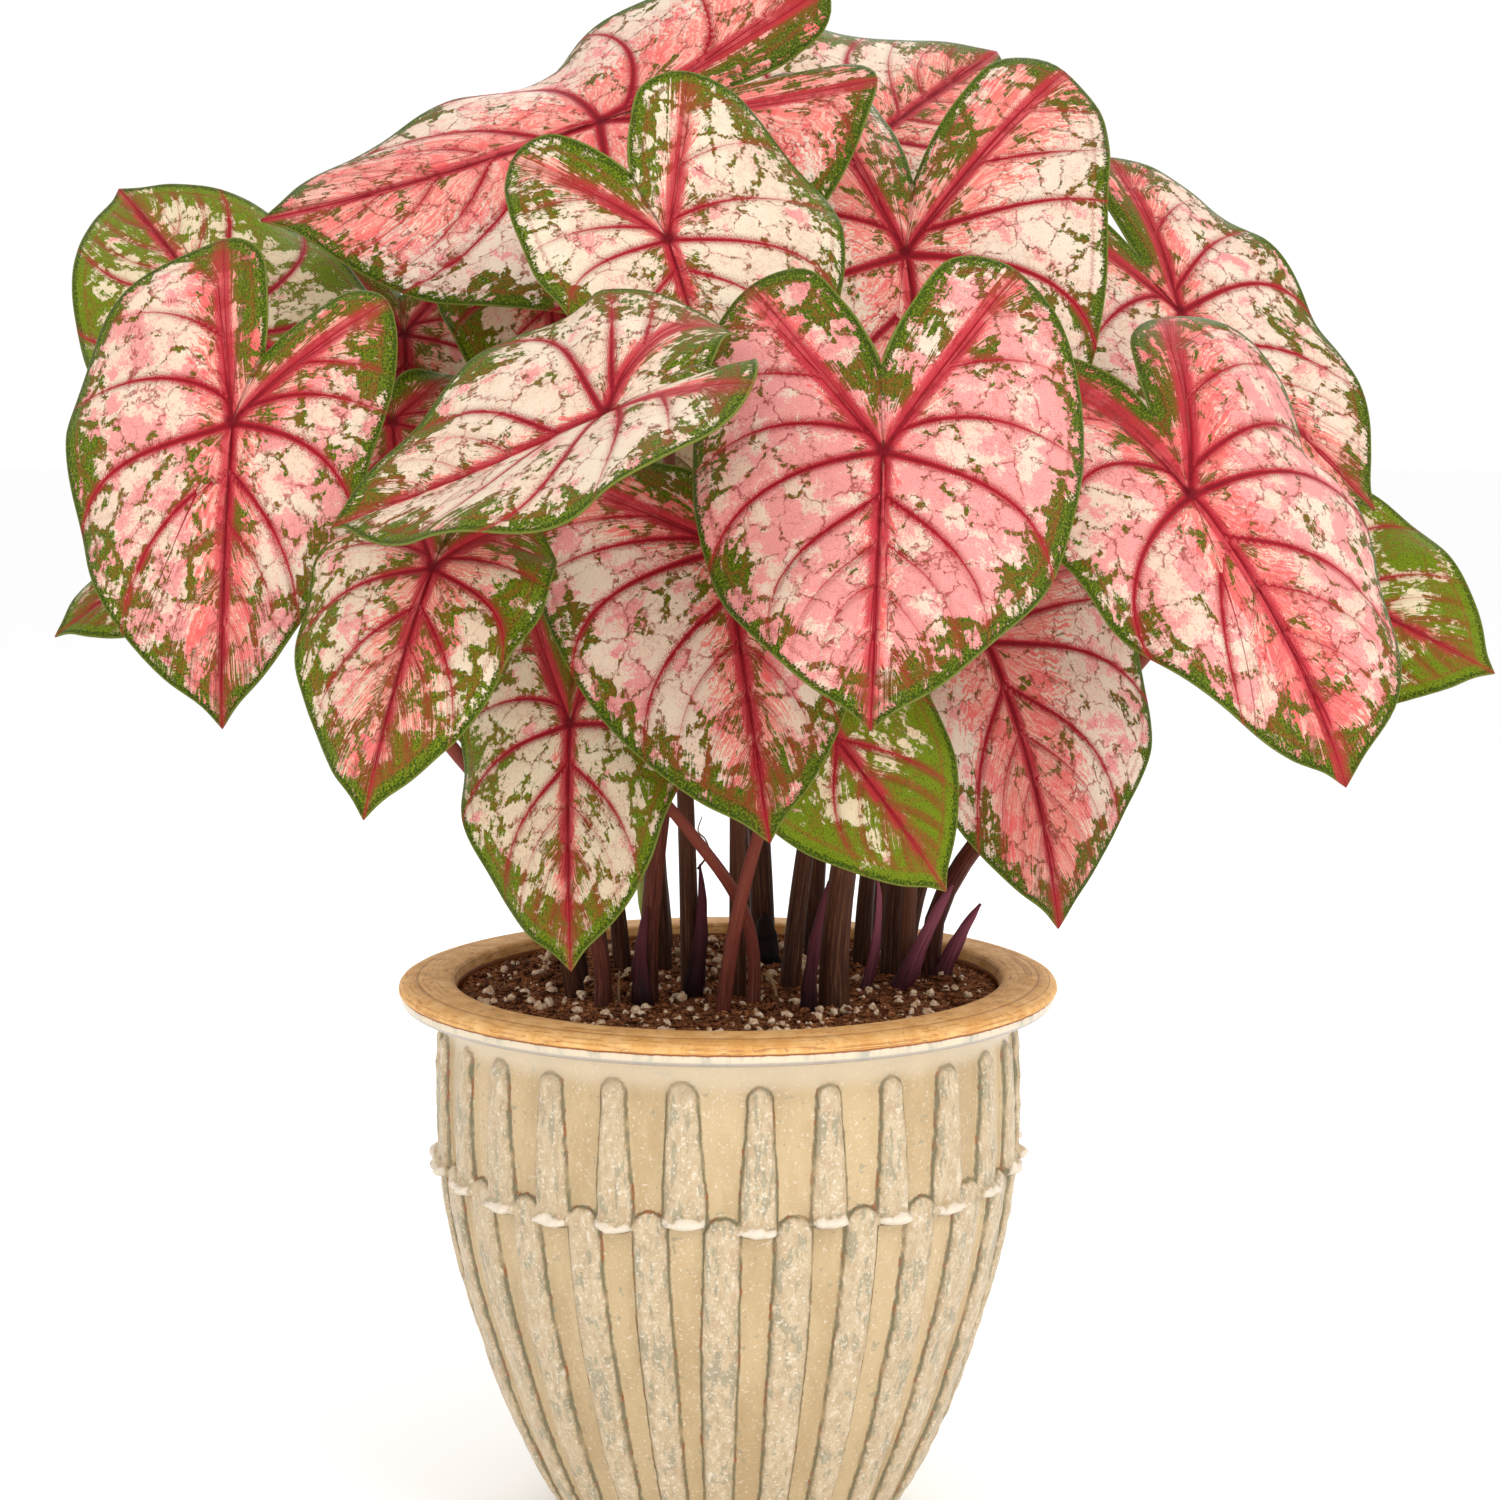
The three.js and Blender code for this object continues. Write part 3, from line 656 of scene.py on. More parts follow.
# %% The leaf's paints
CREAM, WARM_CREAM, HATCH = "#dfd0bf", "#dcbaaa", "#c59476"
PALE_LIME = "#d4c684"
PINK, DEEP_PINK, CORAL = "#e29a94", "#d67c79", "#dd524d"
LIME, GREEN, DARK_GREEN = "#a9a63e", "#66790a", "#334408"
OLIVE, BRICK = "#7a5d1a", "#8f2824"
ROSE, CRIMSON, WINE = "#b32a38", "#9c1824", "#640b16"
RIM_LINE, UNDER_GREY = "#6f7530", "#bdb98e"
NET_SCALE = 0.07
LACE_SCALE = 0.22
FLUSH_REACH = 115


def leaf_finish(leaf, under=False):
    """The paint of one leaf. The lower face is the same, paler and duller."""
    name = f"leaf {leaf['name']}" + (" underside" if under else "")
    finish = Finish(name, 0.6 if under else 0.45, 0.08)
    flat = finish.attribute("flat")
    place, gap, half = finish.attribute("veins").split()
    edge_gap, rib, _ = finish.attribute("zones").split()
    slim = place.work("PINGPONG", 0.5) * gap - half
    frayed = flat.wander(0.25, 7).wander(1.3, 1.6)
    fleck = flat.noise(1.1, 4, 0.7)
    fuzz = flat.noise(2.4, 3, 0.7)
    grain = finish.attribute("grain").wander(0.3, 3)
    streak = grain.noise(1.0, 3, 0.6, (2.2, 0.06, 1))
    along = grain.noise(1.0, 4, 0.65, (0.75, 0.13, 1))
    mottle = (frayed.noise(0.42, 6, 0.74) + along) * 0.65 - 0.15
    net = frayed.cells(NET_SCALE) / NET_SCALE

    colour = light_ground(flat, frayed, fleck, fuzz, leaf)
    colour = colour.coat(flush(rib, slim, mottle, fuzz, streak, leaf), CORAL)
    thread = net.step(0.6, 0.2) * mottle.step(0.42, 0.52)
    colour = colour.coat(thread * 0.75, BRICK)
    greens = speckled_green(fleck, fuzz, leaf["green"])
    reds = fleck.step(0.4, 0.6).mix(OLIVE, BRICK)
    cover = dark_cover(frayed, mottle, streak, net, edge_gap, rib, leaf["green"])
    redness = brick_share(rib, slim, net, edge_gap, fleck, leaf["green"])
    colour = colour.coat(cover, greens.coat(redness, reds))
    colour = margin(colour, greens, edge_gap, fleck)
    colour = veins(colour, flat, slim, half, rib, fuzz)
    if under:
        colour = colour.coat(0.38, UNDER_GREY)
    groove = slim.step(1.8, -0.5) * (0.8 if under else -0.7)
    height = groove + cover * -0.1 + net.step(1, 0.1) * -0.2 + fleck * 0.15
    return finish.done(colour, height, 0.001, 0.8)


# %% Cream, pink and coral
def light_ground(flat, frayed, fleck, fuzz, leaf):
    """Cream with soft pink patches. A pink leaf has more of them, and a green leaf has a lime tinge."""
    cloud = flat.noise(0.045, 4, 0.6)
    warm = (cloud.step(0.35, 0.6) * 0.5).work("ADD", 0.55 * leaf["pink"], clamp=True)
    cream = warm.mix(CREAM, WARM_CREAM)
    cream = cream.coat(0.45 * min(leaf["green"], 1), PALE_LIME)
    cream = cream.coat(fleck.step(0.5, 0.7) * 0.5, HATCH)
    rosy = fuzz.step(0.36, 0.6).mix(DEEP_PINK, PINK)
    rosy = rosy.coat(fuzz.step(0.55, 0.68) * 0.6, WARM_CREAM)
    blush = frayed.noise(0.085, 3, 0.6) + fleck * 0.4 - 0.2 + fuzz * 0.3 - 0.15
    edge = 0.67 - 0.28 * leaf["pink"]
    lace = frayed.cells(LACE_SCALE).step(0.06, 0.015) * cloud.step(0.4, 0.56)
    return cream.coat(blush.step(edge - 0.02, edge + 0.03), rosy).coat(lace * 0.3, BRICK)


def flush(rib, slim, mottle, fuzz, streak, leaf):
    """Where coral spreads from the ribs, torn by streaks and hatched with the ground."""
    reach = streak ** 1.5 * (FLUSH_REACH * leaf["flush"])
    flushed = (rib + (mottle * 36 - 18)).step(reach, reach * 0.7)
    beside = (slim - (fuzz * 8 - 5)).step(0.8, 0)
    hatch = fuzz * 0.3 + streak - 0.15
    return flushed.larger(beside) * 0.8 * (hatch.step(0.42, 0.54) * 0.55 + 0.45)


# %% Green and brick-red flecks
def speckled_green(fleck, fuzz, green):
    """Dark green with lighter clouds and fine yellow-green dots. A greener leaf is a lighter green too."""
    low = 0.5 - 0.17 * green
    return fleck.step(low, low + 0.16).mix(DARK_GREEN, GREEN).coat(fuzz.step(0.56, 0.63) * 0.65, LIME)


def dark_cover(frayed, mottle, streak, net, edge_gap, rib, green):
    """Where flecks cover the cream: along the net of fine veins, near the ribs and near the edge."""
    share = frayed.noise(0.05, 3, 0.6) * 0.9 + (0.22 * green - 0.755)
    share = share + net.step(2.6, 0.3) * 0.16 + edge_gap.step(24, 3) * 0.22
    feather = rib.step(19, 2) * streak.step(0.4, 0.6)
    return (mottle + (share + feather * 0.18)).step(0.485, 0.525)


def brick_share(rib, slim, net, edge_gap, fleck, green):
    """How red a fleck is: red by the ribs and veins, green near the edge and on a green leaf."""
    still_green = -0.95 - 0.5 * max(0, green - 0.6)
    redness = rib.step(9, 2).larger(slim.step(3, 0.3)).larger(net.step(1.2, 0.3) * 0.6)
    return (redness * edge_gap.step(2, 9)).work("ADD", fleck * 1.6 + still_green, clamp=True)


# %% Margin and veins
def margin(colour, hem, edge_gap, fleck):
    """The green hem with a fine red vein inside it, and the thin line of the very edge."""
    wavy = edge_gap + fleck * 8 - 4
    colour = colour.coat(wavy.step(2.6, 1.8), hem.coat(fleck.step(0.64, 0.46), DARK_GREEN))
    colour = colour.coat(abs(wavy - 6).step(0.8, 0.3) * 0.5, BRICK)
    return colour.coat(edge_gap.step(0.7, 0.3), RIM_LINE)


def veins(colour, flat, slim, half, rib, fuzz):
    """Red teeth along each vein, the broad crimson vein in a rose seam, and a wine-dark core."""
    strength = half.step(0.2, 0.7)
    teeth = (slim - (fuzz * 14 - 6)).step(0.6, -0.3)
    colour = colour.coat(teeth * (strength * 0.8), BRICK)
    seam = fuzz * 3 + half * 0.6 - 1.2
    broad = (rib - fuzz * 7).step(0.3, -0.4)
    halo = slim.step(seam, seam - 0.7).larger(broad) * strength
    colour = colour.coat(halo * 0.8, ROSE)
    band = fuzz * 1.4 + half * 0.4 - 0.8
    colour = colour.coat(slim.step(band, band - 0.5) * (strength * 0.35 + 0.6), CRIMSON)
    core = slim.step(-0.1, -0.8) * 0.6
    from_joint = flat.vector("MULTIPLY", (1, 1, 0)).vector("LENGTH", output=1)
    return colour.coat(core.larger(from_joint.step(4.5, 1.5) * 0.8), WINE)


print("a leaf in five layers: ground, flush, flecks, margin, veins")

# %% Make every leaf
for leaf in leaves.values():
    node = f"leaf_{leaf['name']}"
    blade = link_piece(f"blade_{leaf['name']}", wrapped_grid(node, RAYS, RINGS, blade_shape(leaf)))
    blade.data.materials.append(leaf_finish(leaf))
    blade.data.materials.append(leaf_finish(leaf, under=True))
    add_wall(blade, BLADE_WALL, under_slot=1)
    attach(blade, "root")
    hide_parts(node)
print("blades made:", len(leaves))

# %% [markdown]
# ## The stems
# A caladium's leaf stem, the petiole, is a fleshy rod as thick as a finger at the soil and slender where
# it meets the blade. It rises straight and then leans over to carry the leaf. Each one is a tube wrapped
# along the same curve as the frame's stem, with more sides and more steps. Its colour runs from nearly
# black at the foot to purple brown or red, in fine long streaks.

# %% Stem lines
SOIL_Z = 224
STEM_DEPTH = 30
STEM_SIDES = 14
STEM_STEPS = 30
STEM_SAMPLES = 120
STEM_TOP_RADIUS = 2
STEM_END_GAP = 0.35
STEM_FLARE = 0.35


def stem_line(leaf, count):
    """Places along a stem, at even steps, in millimetres."""
    out = leaf_frame(leaf)[2]
    end = leaf["centre"] - out * STEM_END_GAP
    approach = leaf["centre"] - out * leaf["reach"]
    foot = (*leaf["root"], SOIL_Z - STEM_DEPTH)
    if leaf["name"] in STEM_BENDS:
        surface = (*leaf["root"], SOIL_Z + STEM_DEPTH)
        return smooth_line((foot, surface, STEM_BENDS[leaf["name"]], approach, end), count)
    handles = foot, (*leaf["root"], SOIL_Z + leaf["rise"]), approach, end
    return resampled(bezier(handles, STEM_SAMPLES), count)


def tube_shape(line, radii, seed, sides):
    """What wrapped_grid needs to make a closed tube along a line of places in millimetres."""
    steps = len(line) - 1
    forward = np.gradient(line, axis=0)
    forward /= np.linalg.norm(forward, axis=1)[:, None]
    first = np.cross(forward, (1.0, 0.13, 0))
    first /= np.linalg.norm(first, axis=1)[:, None]
    second = np.cross(forward, first)
    length = np.linalg.norm(np.diff(line, axis=0), axis=1).sum()

    def shape_of(column, row):
        step = np.clip(row - 1, 0, steps)
        radius = np.where((row == 0) | (row == steps + 2), 0, radii[step])
        angle = 2 * math.pi * (column % sides) / sides
        ring = first[step] * np.cos(angle)[:, None] + second[step] * np.sin(angle)[:, None]
        spots = line[step] + ring * radius[:, None]
        up = step / steps
        skin = np.column_stack((np.cos(angle) * 4, np.sin(angle) * 4, up * length / 10 + seed))
        return spots * MM, {"skin": skin, "share": np.column_stack((up, up, up))}
    return shape_of


def stem_radii(leaf, count):
    """Thick at the soil, slender at the blade, and a little wider again under the blade."""
    share = np.linspace(0, 1, count)
    radii = leaf["thick"] + (STEM_TOP_RADIUS - leaf["thick"]) * share ** 0.8
    return radii + STEM_FLARE * ease((share - 0.96) / 0.04)


sample_steps = np.diff(stem_line(leaves["09"], 31), axis=0)
print("stem 09 is", round(float(np.linalg.norm(sample_steps, axis=1).sum())), "mm long")

# %% The stems' material and meshes
STEM_DARK, STEM_BROWN, STEM_RED = "#2c150d", "#6a3f2a", "#843f33"
STEM_BLUSH = "#94734f"
RED_STEMS = ("08", "10", "12", "15", "17")


def stem_finish(name, high, blush):
    """Nearly black at the foot and lighter higher up, with pale streaks and fine dark lines."""
    finish = Finish(name, 0.5, 0.12)
    share, _, _ = finish.attribute("share").split()
    skin = finish.attribute("skin")
    streak = skin.noise(1.0, 5, 0.75, (1.3, 1.3, 0.35))
    fine = skin.noise(5.0, 4, 0.7, (1, 1, 0.5))
    colour = (share + streak * 0.9 - 0.45).step(-0.05, 0.5).mix(STEM_DARK, high)
    colour = colour.coat(streak.step(0.5, 0.75) * 0.42, blush)
    colour = colour.coat(fine.step(0.47, 0.7) * 0.3, STEM_DARK)
    return finish.done(colour, fine + streak, 0.0005, 0.35)


brown_stem = stem_finish("purple brown stem", STEM_BROWN, STEM_BLUSH)
red_stem = stem_finish("red stem", STEM_RED, STEM_BLUSH)
for leaf in leaves.values():
    line, radii = stem_line(leaf, STEM_STEPS + 1), stem_radii(leaf, STEM_STEPS + 1)
    shape = tube_shape(line, radii, int(leaf["name"]) * 5, STEM_SIDES)
    mesh = wrapped_grid("stalk", STEM_SIDES, STEM_STEPS + 2, shape)
    stalk = link_piece(f"stalk_{leaf['name']}", mesh, red_stem if leaf["name"] in RED_STEMS else brown_stem)
    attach(stalk, "root")
    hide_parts(f"petiole_{leaf['name']}")
print("stalks made:", len(leaves))

# %% [markdown]
# ## Sheaths at the foot
# A new leaf comes up inside a papery sheath that stays behind at the foot of the stem: a pointed trough,
# purple and dry. Each one is a bent grid between a foot and a tip, and so is a pale young leaf that is
# still rolled. A dry spike, a curled thread and an arched stub are thin tubes.

# %% Papery sheaths
SHEATHS = {
    "a": ((-32.5, -40, 222), (-31, -42, 264), 11, -160, "dark"),
    "b": ((-15.5, -25, 222), (-11.5, -28, 279), 10, -20, "dark"),
    "c": ((32, -51, 222), (40, -58, 277), 7, -150, "dark"),
    "d": ((55, -8, 222), (60.5, -14, 271), 7, -10, "pink"),
    "e": ((70, -6, 222), (91.5, -12, 268), 9, -130, "pink"),
    "f": ((88, 13, 224), (105, 12, 256), 8, -140, "pink"),
    "g": ((-51, -37, 222), (-52, -36, 253), 7, -40, "dark"),
    "h": ((15.5, 46.5, 222), (15.5, 47.5, 246), 15, -90, "black"),
    "young": ((-32, 62, 222), (-42, 60, 286), 10, -60, "green"),
}
SHEATH_COLUMNS = 12
SHEATH_ROWS = 22
SHEATH_WALL = 0.0007
SHEATH_BOW = 1.6
SHEATH_PAINTS = {
    "dark": ("#1c0c0e", "#55272f"), "pink": ("#3b1a20", "#8d4c5b"),
    "black": ("#0c0706", "#20120f"), "green": ("#9fb04a", "#c0c978"),
}


def sheath_shape(foot, tip, width, facing, seed):
    """What wrapped_grid needs to make a trough that narrows to a point."""
    foot, tip, facing = np.array(foot, float), np.array(tip, float), math.radians(facing)

    def shape_of(column, row):
        up, across = row / SHEATH_ROWS, column / SHEATH_COLUMNS
        bow = np.sin(math.pi * up) * SHEATH_BOW
        ragged = noise_at(up * 5, seed, across * 2)
        radius = width / 2 * (0.2 + 0.8 * (1 - up) ** 0.8) * (1 + 0.35 * ragged)
        radius = radius * np.clip((1 - up) * 9, 0.12, 1)
        angle = facing + (across - 0.5) * math.pi * (1.3 - 0.5 * up)
        places = foot + (tip - foot) * up[:, None]
        places[:, 0] += np.cos(angle) * radius + bow * math.cos(facing)
        places[:, 1] += np.sin(angle) * radius + bow * math.sin(facing)
        skin = np.column_stack((across * 9, up * 3, np.full(len(up), seed)))
        return places * MM, {"share": np.column_stack((up, up, up)), "skin": skin}
    return shape_of


def sheath_finish(name):
    """Dark at the foot and paler at the tip, with fine lines along the sheath."""
    low, high = SHEATH_PAINTS[name]
    finish = Finish(f"{name} sheath", 0.6, 0.1)
    up, _, _ = finish.attribute("share").split()
    lines = finish.attribute("skin").noise(2.0, 4, 0.6, (1, 0.25, 1))
    return finish.done((up + lines * 1.2 - 0.6).step(0.0, 0.8).mix(low, high), lines, 0.0006, 0.6)


sheath_paints = {name: sheath_finish(name) for name in SHEATH_PAINTS}
for number, (name, (foot, tip, width, facing, kind)) in enumerate(SHEATHS.items()):
    shape = sheath_shape(foot, tip, width, facing, number * 3.1)
    mesh = wrapped_grid("sheath", SHEATH_COLUMNS, SHEATH_ROWS, shape, close=False)
    sheath = link_piece(f"sheath_{name}", mesh, sheath_paints[kind])
    add_wall(sheath, SHEATH_WALL)
    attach(sheath, "root")
print("sheaths made:", len(SHEATHS))

# %% Dry threads
THREAD_POINTS = 21
THREAD_SIDES = 8
THREADS = {
    "curl": (
        0.5, (-12, -28, 277), (-7.6, -27, 283.7), (-9, -26, 289), (-11.8, -26, 292), (-10.2, -26, 298)),
    "spike": (0.9, (-42.8, -40, 222), (-43.4, -40, 229), (-43.1, -40, 238)),
    "stub": (1.3, (10, -36, 221), (11.5, -35.5, 231), (15, -35, 236), (18.5, -35.5, 231), (20.5, -36, 221)),
    "young_stalk": (0.9, (-30, 62, 220), (-33, 61, 240), (-38, 60, 262)),
}
dry_finish = stem_finish("dry thread", STEM_BLUSH, "#c39a7c")
for name, (radius, *spots) in THREADS.items():
    taper = radius * (1 - 0.6 * np.linspace(0, 1, THREAD_POINTS))
    shape = tube_shape(smooth_line(spots, THREAD_POINTS), taper, 3, THREAD_SIDES)
    mesh = wrapped_grid("thread", THREAD_SIDES, THREAD_POINTS + 1, shape)
    thread = link_piece(f"thread_{name}", mesh, dry_finish)
    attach(thread, "root")
print("threads made:", len(THREADS))

# %% [markdown]
# ## The soil
# Potting mix is dark fibre and bark with white crumbs of perlite. Its face is a disc of fine rings whose
# points are pushed up and down by noise, closed by a skirt and a floor inside the pot. Hundreds of grains
# and chips lie half sunk in it, so each one is a small rough lump with few faces.

# %% The face of the soil
SOIL_RAYS = 240
SOIL_RINGS = 84
SOIL_RADIUS = 110
SOIL_SKIRT = [(106, 211), (104, 184), (103.5, 157), (88.5, 85), (68.5, 33), (57.5, 14.5), (0, 14.5)]
SOIL_ROUGH = 2.6
SOIL_DOME = 1.2


def soil_height(x, y):
    """Height of the soil's face at a place, in millimetres."""
    radius = math.hypot(x, y)
    dome = SOIL_DOME * (1 - (radius / SOIL_RADIUS) ** 2)
    slow = noise.noise((x * 0.035, y * 0.035, 1.7))
    lumps = noise.noise((x * 0.16, y * 0.16, 4.1))
    crumbs = noise.noise((x * 0.5, y * 0.5, 9.3))
    return SOIL_Z + dome + SOIL_ROUGH * (0.4 * slow + 0.5 * lumps + 0.6 * crumbs)


def soil_shape(column, row):
    """Rings of the face from the middle out, then a skirt down the pot's wall and a floor."""
    angle = 2 * math.pi * (column % SOIL_RAYS) / SOIL_RAYS
    ring = np.clip(row, 0, SOIL_RINGS)
    radius = SOIL_RADIUS * ring / SOIL_RINGS
    x, y = radius * np.cos(angle), radius * np.sin(angle)
    z = np.array([soil_height(*spot) for spot in zip(x, y)])
    for extra, (skirt_radius, skirt_z) in enumerate(SOIL_SKIRT, start=1):
        here = row == SOIL_RINGS + extra
        x[here], y[here] = skirt_radius * np.cos(angle[here]), skirt_radius * np.sin(angle[here])
        z[here] = skirt_z
    return np.column_stack((x, y, z)) * MM, {}


def earth_finish():
    """Dark fibre with red-brown strands and lighter crumbs."""
    finish = Finish("potting mix", 0.95, 0.03)
    spots = finish.places()
    fibre = spots.noise(420, 6, 0.75, (1, 1.6, 1))
    crumb = spots.cells(520, "F1")
    colour = fibre.step(0.39, 0.68).mix("#2e1008", "#dd9362")
    colour = colour.coat(crumb.step(0.32, 0.1) * 0.5, "#a57048")
    return finish.done(colour, fibre + crumb, 0.002, 1.0)


mesh = wrapped_grid("potting mix", SOIL_RAYS, SOIL_RINGS + len(SOIL_SKIRT), soil_shape)
earth = link_piece("potting_mix", mesh, earth_finish())
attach(earth, "root")
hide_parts("soil")
print("soil faces:", len(earth.data.polygons))

# %% Perlite and bark
PERLITE_COUNT = 700
BARK_COUNT = 900
dice = np.random.default_rng(11)


def free_spot(margin):
    """A seeded place on the soil that no stem stands in."""
    while True:
        angle, radius = dice.uniform(0, 2 * math.pi), (SOIL_RADIUS - 5) * math.sqrt(dice.uniform())
        spot = radius * math.cos(angle), radius * math.sin(angle)
        if all(math.dist(spot, leaf["root"]) - leaf["thick"] > margin for leaf in leaves.values()):
            return spot


def scatter(name, count, add_grain, sizes, finish):
    """Many small lumps in one piece, half sunk in the soil's face."""
    heap = bmesh.new()
    lump = bpy.data.meshes.new("lump")
    for _ in range(count):
        size = sizes[0] + (sizes[1] - sizes[0]) * dice.uniform() ** 2
        x, y = free_spot(size * 0.6)
        shape = bmesh.new()
        grain = add_grain(shape, size)
        turn = Vector(dice.normal(size=3)).to_track_quat("Z", "Y").to_matrix()
        stretch = Vector((dice.uniform(0.7, 1.2), dice.uniform(0.7, 1.2), dice.uniform(0.6, 1.0)))
        bmesh.ops.scale(shape, vec=stretch, verts=grain)
        bmesh.ops.rotate(shape, cent=(0, 0, 0), matrix=turn, verts=grain)
        bmesh.ops.translate(shape, vec=Vector((x, y, soil_height(x, y) + size * 0.18)) * MM, verts=grain)
        shape.to_mesh(lump)
        shape.free()
        heap.from_mesh(lump)
    bpy.data.meshes.remove(lump)
    piece = link_piece(name, mesh_from(heap, name), finish)
    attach(piece, "root")


def add_crumb(shape, size):
    """A rough ball of perlite."""
    grain = bmesh.ops.create_icosphere(shape, subdivisions=2, radius=size / 2 * MM)["verts"]
    for corner in grain:
        corner.co *= 1 + 0.55 * noise.noise(corner.co / (size * MM) * 2.6 + Vector((size * 9, 0, 0)))
    return grain


def add_chip(shape, size):
    """A flat splinter of bark."""
    grain = bmesh.ops.create_icosphere(shape, subdivisions=1, radius=size / 2 * MM)["verts"]
    bmesh.ops.scale(shape, vec=(1, 0.38, 0.24), verts=grain)
    return grain


def crumb_finish(name, light, dark, roughness):
    """Light and dark grain of one colour."""
    finish = Finish(name, roughness, 0.15)
    grain = finish.places().noise(700, 4, 0.7)
    return finish.done(grain.step(0.35, 0.65).mix(dark, light), grain, 0.0006, 0.8)


white_crumb = crumb_finish("perlite", "#e6d3ba", "#b48a62", 0.85)
brown_chip = crumb_finish("bark", "#85502f", "#30150a", 0.8)
scatter("perlite", PERLITE_COUNT, add_crumb, (0.9, 4.8), white_crumb)
scatter("bark", BARK_COUNT, add_chip, (2.5, 9), brown_chip)
print("grains:", PERLITE_COUNT, "perlite and", BARK_COUNT, "bark")

# %% [markdown]
# ## The pot
# The pot was thrown, so it is spun here: a fine profile of the wall turned round the upright axis. The
# raised strips are then pushed out of the wall. Each strip is a bar with a rounded top, and no two are
# quite alike, so every strip gets its own lean, width and ends from seeded numbers. Each point of the wall
# keeps its distance from the edge of the nearest strip, and the glaze reads it: a crust with olive pits
# on the strips, smooth and beige between them, and olive or rust along the edges.

# %% The pot's profile
NECK_Z = 211
TIER_Z = 157
STRIP_COUNT = 27
STRIP_PHASE = math.radians(-4.1)
STRIP_COLUMNS = 20
STRIP_HEIGHT = 3
LIP_HEIGHT = 6.6
POT_COLUMNS = STRIP_COUNT * STRIP_COLUMNS
BODY_PROFILE = [
    (68, 0), (70.3, 6), (82, 32), (93, 58), (101.7, 85), (109, 110), (114.4, 136), (116.8, 157),
    (117.4, 184), (116.8, 200), (116.3, 208), (116.4, NECK_Z),
]
RIM_PROFILE = [
    (116.9, 213.8), (118.5, 217), (122, 219), (127, 219.7), (131.3, 220), (133.6, 221.2),
    (134.2, 223.4), (134.0, 224.6), (134.9, 225.3), (135, 226.4), (134.3, 228), (132, 229.2),
    (128.6, 229.9), (127.4, 229.6), (126.4, 230), (121, 230.1), (115, 230), (112.9, 229.4), (112, 228),
]
INNER_PROFILE = [
    (111.4, 224), (110.8, 220), (107, 211), (105.4, 184), (104.8, 157), (89.7, 85), (70, 32),
    (59, 14), (0, 14),
]
fine_line = smooth_line(BODY_PROFILE, 400)
body_z = np.concatenate((np.linspace(0, 143, 44), np.linspace(144, 167, 25), np.linspace(169, NECK_Z, 24)))
body_line = np.column_stack((np.interp(body_z, fine_line[:, 1], fine_line[:, 0]), body_z))
rim_line = smooth_line([BODY_PROFILE[-1], *RIM_PROFILE], 40)
profile = np.vstack(([(0, 0), (60, 0)], body_line, rim_line[1:], INNER_PROFILE))
print("profile points:", len(profile))

# %% Strips on the wall
FOOT_SAG = 2.0
SAME_WALL = 0.6
NOT_ON_STRIP = -9
PITCH = 2 * math.pi / STRIP_COUNT
strip_dice = np.random.default_rng(5)
upper_lean, lower_lean = strip_dice.normal(0, 0.03, (2, STRIP_COUNT))
upper_wide, lower_wide = strip_dice.normal(0, 0.02, (2, STRIP_COUNT))
upper_top, lower_top = strip_dice.uniform(-1.5, 1.5, (2, STRIP_COUNT))
upper_end = strip_dice.uniform(-3, 2, STRIP_COUNT)


def inside_bar(offset, z, half, low, high):
    """Distance in millimetres inside a bar with a rounded top and a foot that sags."""
    rounded = half - np.hypot(offset, np.maximum(z - (high - half), 0))
    sag = FOOT_SAG * (1 - np.minimum(np.abs(offset) / half, 1) ** 2)
    return np.minimum(rounded, z - low + sag)


def strip_places(angle, z, radius):
    """For each point of the wall: the distance inside a strip and how much of a lip it has."""
    turn = (angle - STRIP_PHASE) / PITCH
    arc = radius * PITCH
    upper = np.rint(turn).astype(int) % STRIP_COUNT
    share = turn - np.rint(turn)
    centre = upper_lean[upper] * (1 + (z - 184) / 30)
    half = arc * (0.3 + upper_wide[upper] - 0.085 * ease((z - 160) / 46))
    end = TIER_Z - 2 + upper_end[upper]
    inside_upper = inside_bar(arc * (share - centre), z, half, end, 210.5 + upper_top[upper])
    ragged = noise_at(turn * 9, 3.3, 0)
    lip = ease((end + 4.5 + 2.5 * ragged - z) / 2.5) * ease(inside_upper / 1.2)
    lower = np.floor(turn).astype(int) % STRIP_COUNT
    share = turn - np.floor(turn) - 0.5
    half = arc * (0.28 + 0.03 * ease((150 - z) / 60) + lower_wide[lower])
    centre = lower_lean[lower] * (1 + (80 - z) / 60)
    inside_lower = inside_bar(arc * (share - centre), z, half, -60, 161 + lower_top[lower])
    return np.maximum(inside_upper, inside_lower), lip


def relief(inside, lip, z):
    """How far the wall stands out, in millimetres."""
    bar = STRIP_HEIGHT * ease((inside + 0.5) / 2.8) * ease(z / 30) * ease((NECK_Z + 1 - z) / 4)
    return bar + (LIP_HEIGHT - STRIP_HEIGHT) * lip


